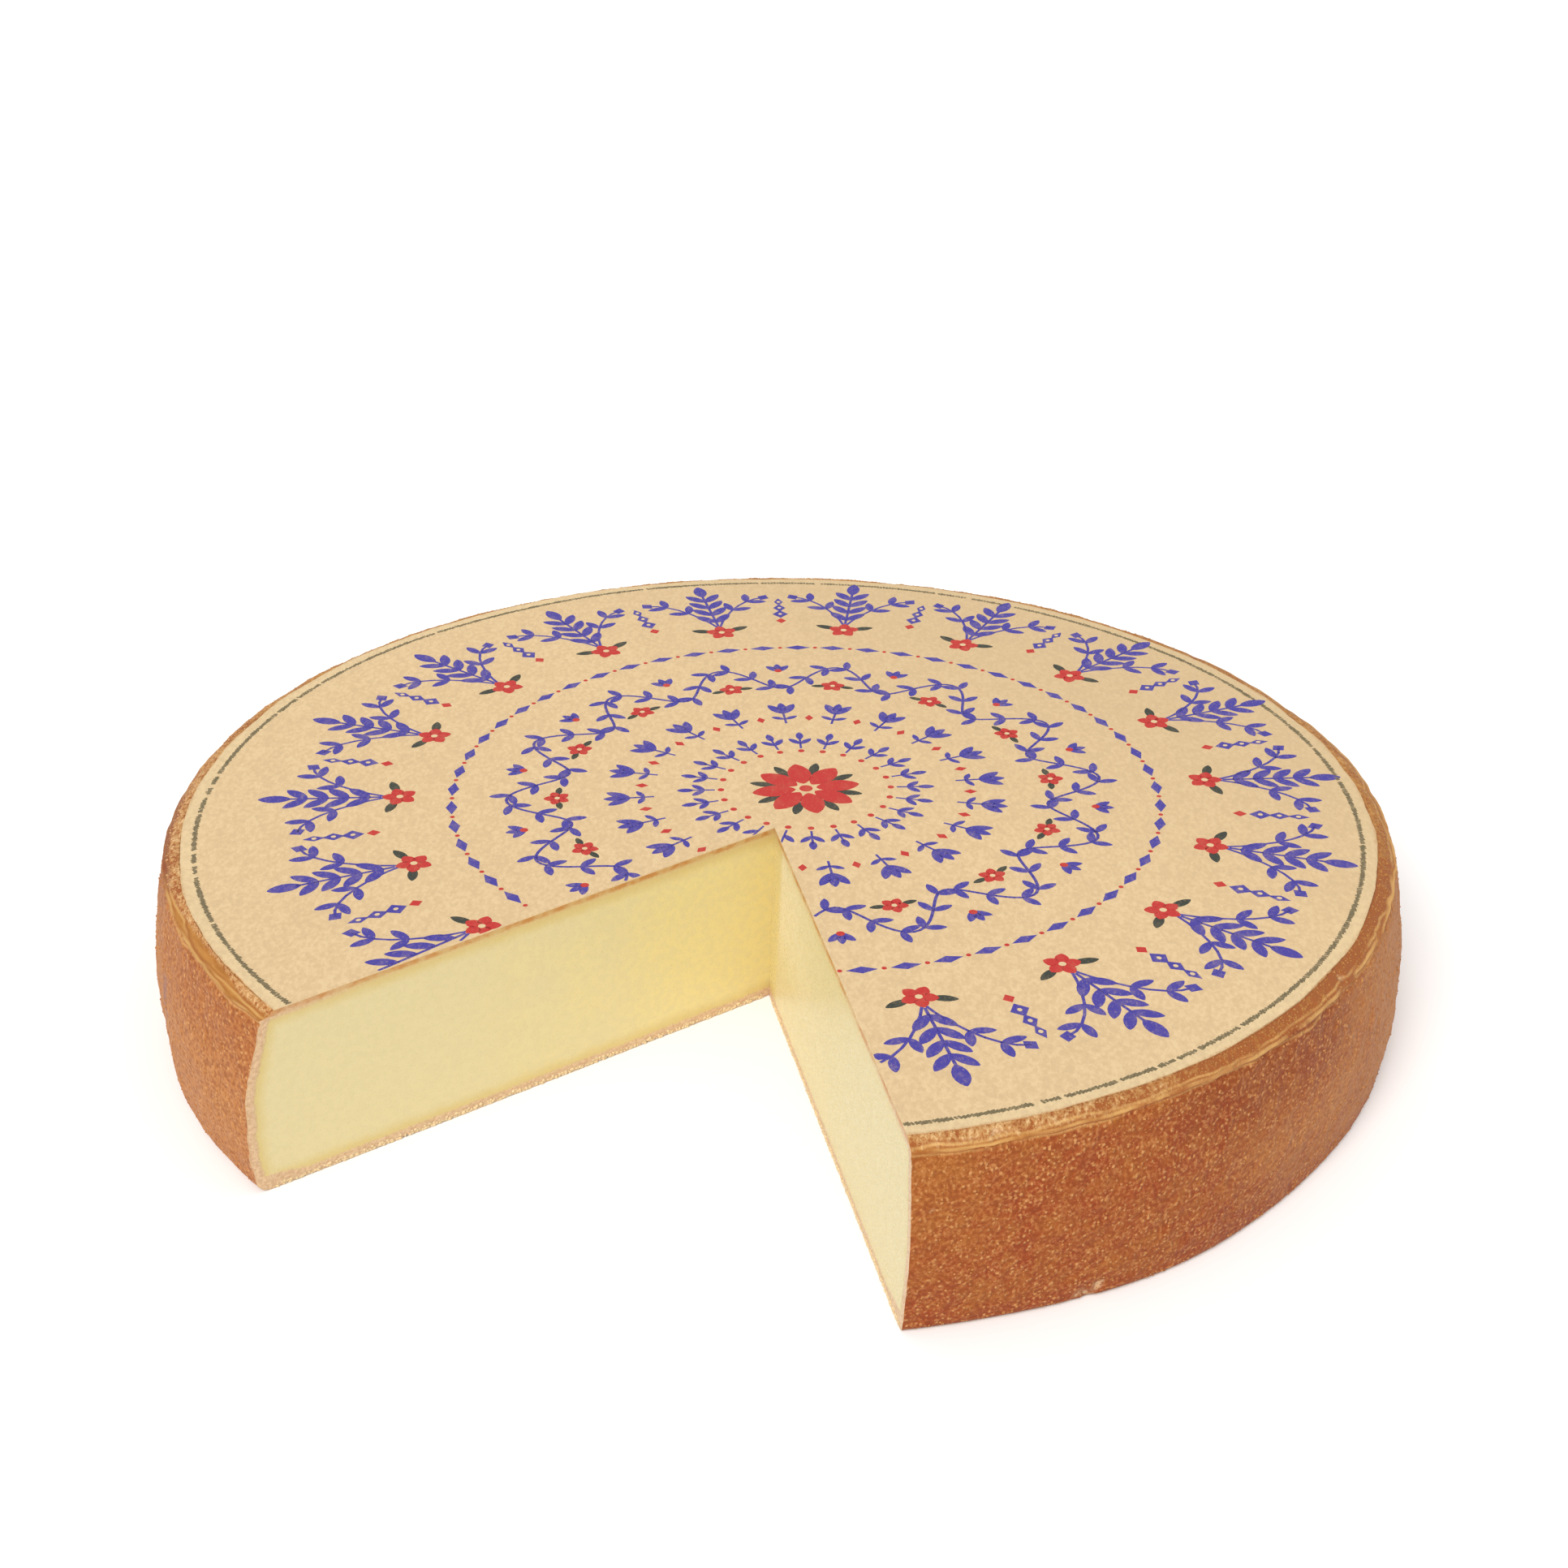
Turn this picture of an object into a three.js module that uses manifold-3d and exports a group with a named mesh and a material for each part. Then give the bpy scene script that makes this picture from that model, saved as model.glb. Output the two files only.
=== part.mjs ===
// A wheel of hard alpine cheese with a wedge already cut out of it, and the round
// paper label that lies on its top.
// Units are millimetres, +Z is up, and the origin is the centre of the base.

import * as THREE from 'three';
import { mergeVertices } from 'three/addons/utils/BufferGeometryUtils.js';
import Module from 'manifold-3d';

// ---------------------------------------------------------------- driving dimensions

const TOTAL_HEIGHT = 95;            // base to the upper face of the label
const LABEL_THICKNESS = 0.5;
const LABEL_GAP = 0.3;              // between the label and the rind it lies on
const LABEL_RADIUS = 304;

const WHEEL_HEIGHT = TOTAL_HEIGHT - LABEL_THICKNESS - LABEL_GAP;

const SHOULDER_INNER_RADIUS = 305.5; // where the flat top begins to fall away
const SHOULDER_DROP = 3.4;           // fall of the crumbly shoulder to its outer rim
const RIDGE_RADIUS = 310.6;          // the thin crease that runs round the rim
const RIDGE_RISE = 0.7;              // how far the crease stands proud of the shoulder

const HEEL_TOP_RADIUS = 311.4;       // the convex side, from below the crease ...
const HEEL_TOP_DROP = 6;             // ... measured down from the flat top
const GIRTH_RADIUS = 319.2;          // ... through its widest line ...
const GIRTH_HEIGHT = 41;
const HEEL_FOOT_RADIUS = 316.4;      // ... to the rounded lower edge
const FOOT_ROUNDING = 4;

// A wheel matured on a shelf is never quite round: two and three lobes, in millimetres.
const LOBES = [
  { count: 2, size: 1.1, peak: THREE.MathUtils.degToRad(-141) },
  { count: 3, size: 1.2, peak: THREE.MathUtils.degToRad(-141) },
];
const LOBE_GROWTH = 0.6;             // further share of the lobes gained from the girth to the base

// Where it leaned in its mould it also swells or draws in, over a stretch of the side: the middle
// and half width of each stretch, and how far it stands out at the rim, the girth and the base.
const SWELLS = [
  { middle: THREE.MathUtils.degToRad(20), halfWidth: THREE.MathUtils.degToRad(45), out: [1.6, 1.6, 1.6] },
  { middle: THREE.MathUtils.degToRad(-57), halfWidth: THREE.MathUtils.degToRad(12), out: [0, 1.4, 3.5] },
  { middle: THREE.MathUtils.degToRad(-144), halfWidth: THREE.MathUtils.degToRad(8), out: [0, -0.3, -0.9] },
];

// The knife drifted a little on its way down, so the notch is stated at both faces:
// the point where the two cuts meet, and the direction of each cut from there.
const NOTCH_TOP = {
  apex: new THREE.Vector2(-2.2, -32),
  left: THREE.MathUtils.degToRad(-141.6),
  right: THREE.MathUtils.degToRad(-78.3),
};
const NOTCH_BASE = {
  apex: new THREE.Vector2(-4.6, -39.4),
  left: THREE.MathUtils.degToRad(-143.1),
  right: THREE.MathUtils.degToRad(-77.9),
};

const SEGMENTS_ROUND = 144;          // facets round the wheel
const SEGMENTS_HEEL = 10;            // facets down the convex side
const SEGMENTS_FOOT = 4;             // facets round the lower edge
const FLAT_RINGS = [0.25, 0.5, 0.75]; // rings that divide the flat faces, as shares of the radius

const SKY = 20;                      // how far the cutting prism passes each face
const REACH = 420;                   // how far the cutting prism passes the side

const COLOURS = {
  cheese: new THREE.Color(0.72, 0.43, 0.24),
  label: new THREE.Color(0.92, 0.80, 0.62),
};

// ---------------------------------------------------------------- outline of the wheel

/** Circle through three points, returned as its centre and radius. */
function circleThrough(a, b, c) {
  const d = 2 * (a.x * (b.y - c.y) + b.x * (c.y - a.y) + c.x * (a.y - b.y));
  const [sa, sb, sc] = [a, b, c].map((p) => p.lengthSq());
  const centre = new THREE.Vector2(
    (sa * (b.y - c.y) + sb * (c.y - a.y) + sc * (a.y - b.y)) / d,
    (sa * (c.x - b.x) + sb * (a.x - c.x) + sc * (b.x - a.x)) / d,
  );
  return { centre, radius: centre.distanceTo(a) };
}

/** Points on an arc from one angle to another, both ends included. */
function arcPoints(centre, radius, from, to, steps) {
  return Array.from({ length: steps + 1 }, (_, i) => {
    const angle = THREE.MathUtils.lerp(from, to, i / steps);
    return new THREE.Vector2(centre.x + radius * Math.cos(angle), centre.y + radius * Math.sin(angle));
  });
}

/** Rounded lower edge: a quarter turn from the flat base up to the foot of the heel. */
function footOutline() {
  const centre = new THREE.Vector2(HEEL_FOOT_RADIUS - FOOT_ROUNDING, FOOT_ROUNDING);
  return arcPoints(centre, FOOT_ROUNDING, -Math.PI / 2, 0, SEGMENTS_FOOT);
}

/** Convex side: one arc through the foot, the widest line and the top of the heel. */
function heelOutline() {
  const foot = new THREE.Vector2(HEEL_FOOT_RADIUS, FOOT_ROUNDING);
  const girth = new THREE.Vector2(GIRTH_RADIUS, GIRTH_HEIGHT);
  const top = new THREE.Vector2(HEEL_TOP_RADIUS, WHEEL_HEIGHT - HEEL_TOP_DROP);
  const { centre, radius } = circleThrough(foot, girth, top);
  const angleOf = (p) => Math.atan2(p.y - centre.y, p.x - centre.x);
  return arcPoints(centre, radius, angleOf(foot), angleOf(top), SEGMENTS_HEEL).slice(1);
}

/** Thin crease round the rim, then the sloping shoulder up to the flat top. */
function shoulderOutline() {
  const rim = WHEEL_HEIGHT - SHOULDER_DROP;
  return [
    new THREE.Vector2(RIDGE_RADIUS + RIDGE_RISE, rim - RIDGE_RISE),
    new THREE.Vector2(RIDGE_RADIUS, rim + RIDGE_RISE),
    new THREE.Vector2(RIDGE_RADIUS - 2 * RIDGE_RISE, rim + RIDGE_RISE / 2),
    new THREE.Vector2(SHOULDER_INNER_RADIUS, WHEEL_HEIGHT),
  ];
}

/** The whole half section, from the middle of the base out and up to the middle of the top. */
function wheelOutline() {
  const flat = (radius, height) => FLAT_RINGS.map((share) => new THREE.Vector2(share * radius, height));
  return [
    new THREE.Vector2(0, 0),
    ...flat(HEEL_FOOT_RADIUS, 0),
    ...footOutline(),
    ...heelOutline(),
    ...shoulderOutline(),
    ...flat(SHOULDER_INNER_RADIUS, WHEEL_HEIGHT).reverse(),
    new THREE.Vector2(0, WHEEL_HEIGHT),
  ];
}

// ---------------------------------------------------------------- uneven roundness

/** Share of the lobes felt at a height: none at the flat top, 1 at the girth, more at the base. */
function lobeShare(height) {
  const down = THREE.MathUtils.clamp((WHEEL_HEIGHT - height) / (WHEEL_HEIGHT - GIRTH_HEIGHT), 0, 1);
  const below = THREE.MathUtils.clamp((GIRTH_HEIGHT - height) / GIRTH_HEIGHT, 0, 1);
  return THREE.MathUtils.smoothstep(down, 0, 1) + LOBE_GROWTH * below;
}

/** A swell's reach at a height: straight from base to girth to rim, and from there to nothing. */
function swellReach([rim, girth, base], height) {
  const rimHeight = WHEEL_HEIGHT - SHOULDER_DROP;
  const { mapLinear } = THREE.MathUtils;
  if (height < GIRTH_HEIGHT) return mapLinear(height, 0, GIRTH_HEIGHT, base, girth);
  if (height < rimHeight) return mapLinear(height, GIRTH_HEIGHT, rimHeight, girth, rim);
  return mapLinear(height, rimHeight, WHEEL_HEIGHT, rim, 0);
}

/** How far the side stands out of round: the lobes, and a bell curve of the angle per swell. */
function outOfRound(angle, height) {
  const lobes = LOBES.map((lobe) => lobe.size * Math.cos(lobe.count * (angle - lobe.peak)));
  const swells = SWELLS.map(({ middle, halfWidth, out }) => {
    const turn = THREE.MathUtils.euclideanModulo(angle - middle + Math.PI, 2 * Math.PI) - Math.PI;
    return Math.exp(-((turn / halfWidth) ** 2)) * swellReach(out, height);
  });
  const total = (values) => values.reduce((sum, value) => sum + value, 0);
  return total(lobes) * lobeShare(height) + total(swells);
}

/** Moves each vertex of the turned wheel in or out, in proportion to its radius. */
function pushOutOfRound(geometry) {
  const position = geometry.attributes.position;
  const point = new THREE.Vector3();
  for (let i = 0; i < position.count; i += 1) {
    point.fromBufferAttribute(position, i);
    const scale = 1 + outOfRound(Math.atan2(point.y, point.x), point.z) / GIRTH_RADIUS;
    position.setXY(i, point.x * scale, point.y * scale);
  }
}

// ---------------------------------------------------------------- solids and cuts

const wasm = await Module();
wasm.setup();

/** Closed geometry as a solid: shared corners merged, and the slivers at the poles dropped. */
function toSolid(geometry) {
  const bare = geometry.clone();
  bare.deleteAttribute('normal');
  bare.deleteAttribute('uv');
  const merged = mergeVertices(bare, 1e-4);
  const index = merged.index.array;
  const kept = [];
  for (let i = 0; i < index.length; i += 3) {
    const [a, b, c] = index.subarray(i, i + 3);
    if (a !== b && b !== c && c !== a) kept.push(a, b, c);
  }
  return new wasm.Manifold(new wasm.Mesh({
    numProp: 3,
    vertProperties: new Float32Array(merged.attributes.position.array),
    triVerts: new Uint32Array(kept),
  }));
}

/** A solid back as three.js geometry. */
function toGeometry(solid) {
  const mesh = solid.getMesh();
  const geometry = new THREE.BufferGeometry();
  geometry.setAttribute('position', new THREE.BufferAttribute(mesh.vertProperties, 3));
  geometry.setIndex(new THREE.BufferAttribute(mesh.triVerts, 1));
  geometry.computeVertexNormals();
  return geometry;
}

/** The notch's triangle at a face: its apex and a far point along each cut. */
function notchTriangle(notch) {
  const along = (angle) => new THREE.Vector2(Math.cos(angle), Math.sin(angle))
    .multiplyScalar(REACH).add(notch.apex);
  return [notch.apex, along(notch.left), along(notch.right)];
}

/** The prism that the wedge leaves behind, drawn on past both faces of the wheel. */
function notchPrism() {
  const base = notchTriangle(NOTCH_BASE);
  const top = notchTriangle(NOTCH_TOP);
  const cornersAt = (height) => base.map((corner, i) => {
    const p = new THREE.Vector2().lerpVectors(corner, top[i], height / WHEEL_HEIGHT);
    return [p.x, p.y, height];
  });
  const corners = [...cornersAt(-SKY), ...cornersAt(WHEEL_HEIGHT + SKY)];
  const geometry = new THREE.BufferGeometry();
  geometry.setAttribute('position', new THREE.Float32BufferAttribute(corners.flat(), 3));
  geometry.setIndex([
    0, 2, 1, 3, 4, 5,
    0, 1, 4, 0, 4, 3,
    1, 2, 5, 1, 5, 4,
    2, 0, 3, 2, 3, 5,
  ]);
  return geometry;
}

// ---------------------------------------------------------------- the two pieces

/** The cheese itself: turned, pushed out of round, and cut. */
function cheeseGeometry() {
  const turned = new THREE.LatheGeometry(wheelOutline(), SEGMENTS_ROUND);
  turned.rotateX(Math.PI / 2);
  pushOutOfRound(turned);
  return toGeometry(toSolid(turned).subtract(toSolid(notchPrism())));
}

/** Where a cut, followed from the notch's apex, leaves the label. */
function cutLeavesLabel(direction) {
  const { apex } = NOTCH_TOP;
  const step = new THREE.Vector2(Math.cos(direction), Math.sin(direction));
  const inward = apex.dot(step);
  const length = -inward + Math.sqrt(inward ** 2 + LABEL_RADIUS ** 2 - apex.lengthSq());
  return step.multiplyScalar(length).add(apex);
}

/** The paper label: a thin disc with the same notch. */
function labelGeometry() {
  const right = cutLeavesLabel(NOTCH_TOP.right);
  const left = cutLeavesLabel(NOTCH_TOP.left);
  const outline = new THREE.Shape();
  outline.moveTo(NOTCH_TOP.apex.x, NOTCH_TOP.apex.y);
  outline.lineTo(right.x, right.y);
  outline.absarc(0, 0, LABEL_RADIUS, right.angle(), left.angle(), false);
  outline.closePath();
  return new THREE.ExtrudeGeometry(outline, {
    depth: LABEL_THICKNESS,
    bevelEnabled: false,
    curveSegments: SEGMENTS_ROUND,
  });
}

const cheeseWheel = new THREE.Mesh(
  cheeseGeometry(),
  new THREE.MeshStandardMaterial({ color: COLOURS.cheese, roughness: 0.75, metalness: 0 }),
);
cheeseWheel.name = 'cheese_wheel';

const paperLabel = new THREE.Mesh(
  labelGeometry(),
  new THREE.MeshStandardMaterial({ color: COLOURS.label, roughness: 0.85, metalness: 0 }),
);
paperLabel.name = 'paper_label';
paperLabel.position.z = WHEEL_HEIGHT + LABEL_GAP;

const group = new THREE.Group();
group.add(cheeseWheel, paperLabel);

export default group;
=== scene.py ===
"""Dresses a cut wheel of hard alpine cheese: smeared rind, pale paste in the two cuts, and a
printed paper label.  Every size is in metres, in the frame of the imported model."""

import math

import bpy
import numpy as np
from bpy.props import FloatProperty, FloatVectorProperty, IntProperty, PointerProperty
from mathutils import Matrix, Vector


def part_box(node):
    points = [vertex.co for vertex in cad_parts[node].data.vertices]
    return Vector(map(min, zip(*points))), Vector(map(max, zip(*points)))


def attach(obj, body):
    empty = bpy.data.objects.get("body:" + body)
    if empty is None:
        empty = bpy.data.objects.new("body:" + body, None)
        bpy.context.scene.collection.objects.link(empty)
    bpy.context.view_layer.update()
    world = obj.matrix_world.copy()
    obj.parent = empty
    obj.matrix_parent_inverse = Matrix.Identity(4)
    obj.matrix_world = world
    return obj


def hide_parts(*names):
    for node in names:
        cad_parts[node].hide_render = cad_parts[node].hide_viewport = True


bl_info = {
    "name": "Cut Cheese Wheel",
    "version": (1, 0, 0),
    "blender": (4, 5, 0),
    "location": "View3D > Sidebar > Cheese Wheel",
    "description": "Builds the rind, the cut paste and the printed label of a wheel of cheese",
    "category": "Object",
}

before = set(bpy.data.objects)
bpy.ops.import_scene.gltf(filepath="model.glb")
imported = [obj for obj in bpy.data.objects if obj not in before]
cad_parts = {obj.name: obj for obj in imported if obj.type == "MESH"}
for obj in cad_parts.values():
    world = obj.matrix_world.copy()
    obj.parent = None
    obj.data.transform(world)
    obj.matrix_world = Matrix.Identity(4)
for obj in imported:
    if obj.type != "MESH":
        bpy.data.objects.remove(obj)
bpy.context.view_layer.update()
LABEL_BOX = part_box("paper_label")
BODY = "root"
MM = 0.001
FULL_TURN = 2.0 * math.pi
AROUND_SIDE = 1.6        # metres round the side, near enough for slow patterns


def display(red, green, blue):
    """Linear colour of an 8-bit display colour, by the usual two-part display curve."""
    shares = [channel / 255.0 for channel in (red, green, blue)]
    return tuple(s / 12.92 if s <= 0.04045 else ((s + 0.055) / 1.055) ** 2.4 for s in shares)


def length(name, description, default):
    """A distance property, in metres."""
    return FloatProperty(
        name=name, description=description, default=default, unit="LENGTH", precision=5
    )


def lengths(name, description, default):
    """Two or three distances that belong together, in metres."""
    return FloatVectorProperty(
        name=name, description=description, default=default, size=len(default), unit="LENGTH",
        precision=5,
    )


def angles(name, description, default):
    """Two or three angles that belong together, given in degrees."""
    return FloatVectorProperty(
        name=name, description=description, default=[math.radians(angle) for angle in default],
        size=len(default), unit="ROTATION",
    )


def colour(name, description, default):
    """A colour property, given as a display colour."""
    return FloatVectorProperty(
        name=name, description=description, default=display(*default), subtype="COLOR", size=3,
        min=0.0, max=1.0,
    )


# ------------------------------------------------------------------ what a user would change


class WheelShape(bpy.types.PropertyGroup):
    """Sizes of the wheel, its rim and its notch"""

    height: length("Height", "Base to the face under the label", LABEL_BOX[0].z)
    flat_radius: length("Flat Radius", "Where the flat top begins to fall away", 303.8 * MM)
    shoulder_drop: length("Shoulder Drop", "Fall from the flat top to the lip", 4.0 * MM)
    ledge_drop: length("Ledge Drop", "Fall of the smooth ledge to the lip", 0.9 * MM)
    ledge_width: length("Ledge Width", "Width of the smooth ledge where it is widest", 6.4 * MM)
    lip_radius: length("Lip Radius", "Radius of the thin crease round the rim", 311.2 * MM)
    lip_rise: length("Lip Rise", "How far the crease stands proud", 0.8 * MM)
    groove_depth: length("Groove Depth", "Depth of the groove under the crease", 0.4 * MM)
    girth_radius: length("Girth Radius", "Radius at the widest line", 319.2 * MM)
    girth_height: length("Girth Height", "Height of the widest line", 41.0 * MM)
    foot_radius: length("Foot Radius", "Radius just above the lower edge", 316.4 * MM)
    foot_rounding: length("Foot Rounding", "Rounding of the lower edge", 4.0 * MM)
    lobe_peak: FloatProperty(
        name="Lobe Peak", description="Where the wheel is furthest out of round",
        default=math.radians(-141.0), subtype="ANGLE",
    )
    lobes: lengths(
        "Lobes", "Size of the two-fold and the three-fold lobes", (1.1 * MM, 1.2 * MM)
    )
    lobe_growth: FloatProperty(
        name="Lobe Growth", description="Further share of the lobes gained down to the base",
        default=0.6,
    )
    swell_middle: angles(
        "Swell Middle", "Where the side swells or draws in, at the right, the front and the left cut",
        (20.0, -57.0, -144.0),
    )
    swell_width: angles("Swell Width", "Half width of each swell", (45.0, 12.0, 8.0))
    swell_rim: lengths(
        "Swell at the Rim", "How far each swell stands out at the rim", (1.6 * MM, 0.0, 0.0)
    )
    swell_girth: lengths(
        "Swell at the Girth", "How far each swell stands out at the widest line",
        (1.6 * MM, 1.4 * MM, -0.3 * MM),
    )
    swell_base: lengths(
        "Swell at the Base", "How far each swell stands out at the base",
        (1.6 * MM, 3.5 * MM, -0.9 * MM),
    )
    notch_top: lengths(
        "Notch Top", "Where the two cuts meet in the upper face", (-2.2 * MM, -32.0 * MM)
    )
    notch_base: lengths(
        "Notch Base", "Where the two cuts meet in the base", (-4.6 * MM, -39.4 * MM)
    )
    right_cut: angles(
        "Right Cut", "Direction of the right cut in the base and in the upper face", (-77.9, -78.3)
    )
    left_cut: angles(
        "Left Cut", "Direction of the left cut in the base and in the upper face", (-143.1, -141.6)
    )


class RindLook(bpy.types.PropertyGroup):
    """Colours, grain and crumbs of the smeared side"""

    brown: colour("Brown", "Main orange brown of the smeared side", (144, 71, 27))
    russet: colour("Russet", "Redder patches", (141, 62, 23))
    # The tan is also painted light: it makes the sides lighter than the front, as if more strongly lit.
    tan: colour("Tan", "Lighter, drier brown where the side is least smeared", (175, 116, 64))
    gold: colour("Gold", "Golden brown patches", (156, 94, 38))
    pale: colour("Pale", "Pale specks", (202, 144, 87))
    # This dark colour is also painted shade, under parts of the rim and along the foot.
    wet_and_shade: colour("Wet", "Dark wet smear under parts of the rim and along the foot", (122, 54, 24))
    pit: colour("Pit", "Dark pores between the specks", (108, 44, 13))
    ledge: colour("Ledge", "Smooth olive brown ledge round the rim", (164, 108, 44))
    honey: colour("Honey", "Golden parts of the ledge", (186, 130, 62))
    # The pale creases and the rust grooves beside them are partly painted highlight and shade.
    lip: colour("Lip", "Dry creases round the rim", (206, 162, 98))
    rust: colour("Rust", "Wet smear on the shoulder and along the creases", (150, 85, 40))
    crust: colour("Crust", "Dry smear on the shoulder", (180, 130, 77))
    cream: colour("Cream", "Pale flecks on the shoulder", (210, 172, 122))
    chip: colour("Chip", "Where the rind is knocked off", (206, 172, 132))
    base: colour("Base", "The face it stands on", (170, 126, 84))
    stain: colour("Stain", "Faint violet smudge", (104, 82, 104))
    grain: length("Grain", "Size of the pale specks", 1.7 * MM)
    patch: length("Patch", "Size of the colour patches", 45.0 * MM)
    crumbs: IntProperty(
        name="Crumbs", description="Raised crumbs of dried smear on the side", default=7000, min=100
    )
    shoulder_crumbs: IntProperty(
        name="Shoulder Crumbs", description="Raised crumbs on the shoulder", default=3400, min=100
    )
    cut_crumbs: IntProperty(
        name="Cut Crumbs", description="Raised crumbs along the lower edge of the cuts",
        default=1500, min=100,
    )


class PasteLook(bpy.types.PropertyGroup):
    """Colours of the paste and of the cut rind"""

    paste: colour("Paste", "Smooth pale yellow paste", (210, 195, 148))
    deep: colour("Deep Paste", "Deeper yellow towards the middle of the wheel", (218, 200, 138))
    # Painted light: the right cut is painted paler than the left, as if more strongly lit.
    painted_light_paste: colour("Fresh Paste", "Paler paste of the right cut by the notch's apex", (232, 219, 184))
    under_rind: colour("Under Rind", "Drier, deeper paste next to the rind", (202, 179, 115))
    rind_edge: colour("Rind Edge", "Cut rind of the side and the base", (204, 172, 136))
    rind_grain: colour("Rind Grain", "Darker grains in the cut rind", (184, 144, 106))
    roof: colour("Roof", "Cut line of the rind under the label", (184, 124, 62))
    under_depth: length("Under Rind Depth", "Reach of the greyer paste", 12.0 * MM)
    side_depth: length("Side Rind Depth", "Thickness of the cut rind at the side", 5.4 * MM)
    base_depth: length("Base Rind Depth", "Thickness of the cut rind at the base", 5.6 * MM)


class LabelPrint(bpy.types.PropertyGroup):
    """Paper, inks and sizes of the label"""

    radius: length("Label Radius", "Radius of the paper disc", LABEL_BOX[1].x)
    paper: colour("Paper", "Tan paper", (210, 182, 140))
    border: colour("Border", "Lighter strip outside the fine ring", (213, 188, 146))
    soil: colour("Soil", "Soiled edge of the paper", (176, 132, 84))
    blue: colour("Blue Ink", "Violet blue ink", (66, 58, 148))
    red: colour("Red Ink", "Red ink", (186, 46, 42))
    dark: colour("Dark Ink", "Dark green ink", (54, 58, 50))
    ring_ink: colour("Ring Ink", "Ink of the fine ring", (112, 100, 72))
    ring_radius: length("Ring Radius", "Radius of the fine ring", 296.6 * MM)
    offset: lengths(
        "Print Offset", "How far the print sits off the wheel's axis", (14.0 * MM, 12.0 * MM)
    )


class StudioLook(bpy.types.PropertyGroup):
    """Floor, light and camera"""

    floor: colour("Floor", "Plain pale floor", (250, 250, 250))
    surround: FloatProperty(
        name="Surround", description="Brightness of the even white surround", default=0.7, min=0.0
    )
    key: FloatProperty(
        name="Key Light", description="Strength of the soft light from the front", default=2.6, min=0.0
    )
    key_angle: FloatProperty(
        name="Key Softness", description="How wide the soft light looks", subtype="ANGLE",
        default=math.radians(36.0),
    )
    key_way: FloatVectorProperty(
        name="Key Direction", description="Which way the soft light shines: back, down and a little"
        " to the right", default=(0.35, 1.0, -0.95), size=3, subtype="XYZ",
    )
    eye: lengths("Eye", "Where the camera stands", (0.0, -1.1135, 0.6675))
    aim: lengths("Aim", "The point the camera looks at", (0.0025, 0.0169, 0.095))
    roll: FloatProperty(
        name="Roll", description="Roll of the camera about its view", default=0.0071, subtype="ANGLE"
    )
    focal: FloatProperty(
        name="Focal Length", description="Focal length in millimetres on a 36 mm sensor",
        default=55.4, min=1.0,
    )


# ------------------------------------------------------------------ small mathematics


def ease(value, low, high):
    """Smooth step: 0 below low, 1 above high, and 3t^2 - 2t^3 between."""
    t = np.clip((value - low) / (high - low), 0.0, 1.0)
    return t * t * (3.0 - 2.0 * t)


WAVES = 20
LATTICE_SIDE = 512       # corners each way before the lattice repeats


def ripples(seed, along, up, wavelength):
    """Sum of cosines of random heading, phase and nearly equal length, scaled to unit spread."""
    rng = np.random.default_rng(seed)
    heading = rng.uniform(0.0, FULL_TURN, WAVES)
    number = FULL_TURN / (wavelength * rng.uniform(0.7, 1.5, WAVES))
    phase = rng.uniform(0.0, FULL_TURN, WAVES)
    along, up = np.broadcast_arrays(along, up)
    turn = along[..., None] * (number * np.cos(heading)) + up[..., None] * (number * np.sin(heading))
    return np.cos(turn + phase).sum(-1) / math.sqrt(WAVES / 2.0)


def lattice(seed, along, up, cell):
    """Random values from -1 to 1 on a square lattice, blended smoothly between its corners."""
    table = np.random.default_rng(seed).uniform(-1.0, 1.0, (LATTICE_SIDE, LATTICE_SIDE))
    x, y = np.broadcast_arrays(along / cell, up / cell)
    column, row = np.floor(x).astype(int), np.floor(y).astype(int)
    fx, fy = ease(x - column, 0.0, 1.0), ease(y - row, 0.0, 1.0)

    def corner(dx, dy):
        return table[(column + dx) % LATTICE_SIDE, (row + dy) % LATTICE_SIDE]

    low = corner(0, 0) * (1.0 - fx) + corner(1, 0) * fx
    high = corner(0, 1) * (1.0 - fx) + corner(1, 1) * fx
    return low * (1.0 - fy) + high * fy


def bell(value, middle, width):
    """Bell curve: one at the middle, falling off over the width."""
    return np.exp(-(((value - middle) / width) ** 2))


def arc_through(points):
    """Centre and radius of the circle through three (radius, height) points."""
    (ax, ay), (bx, by), (cx, cy) = points
    twice = 2.0 * (ax * (by - cy) + bx * (cy - ay) + cx * (ay - by))
    a, b, c = ax * ax + ay * ay, bx * bx + by * by, cx * cx + cy * cy
    x = (a * (by - cy) + b * (cy - ay) + c * (ay - by)) / twice
    y = (a * (cx - bx) + b * (ax - cx) + c * (bx - ax)) / twice
    return x, y, np.hypot(ax - x, ay - y)


# ------------------------------------------------------------------ meshes from arrays


class Patch:
    """A block of faces with the same number of corners, their map places and their material."""

    def __init__(self, corners, places, material=0):
        count = corners.shape[-1]
        self.corners = corners.reshape(-1, count)
        self.places = places.reshape(-1, count, 2)
        self.material = material


def quads(index, flip=False):
    """Corners of the faces of a grid of vertex numbers, as (rows, columns, 4)."""
    corners = np.stack([index[:-1, :-1], index[1:, :-1], index[1:, 1:], index[:-1, 1:]], -1)
    return corners[..., ::-1] if flip else corners


def quad_places(across, down, flip=False):
    """Map places for the corners of the same grid, from two arrays of its shape."""
    spots = np.stack(np.broadcast_arrays(across, down), -1)
    places = np.stack([spots[:-1, :-1], spots[1:, :-1], spots[1:, 1:], spots[:-1, 1:]], -2)
    return places[..., ::-1, :] if flip else places


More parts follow.
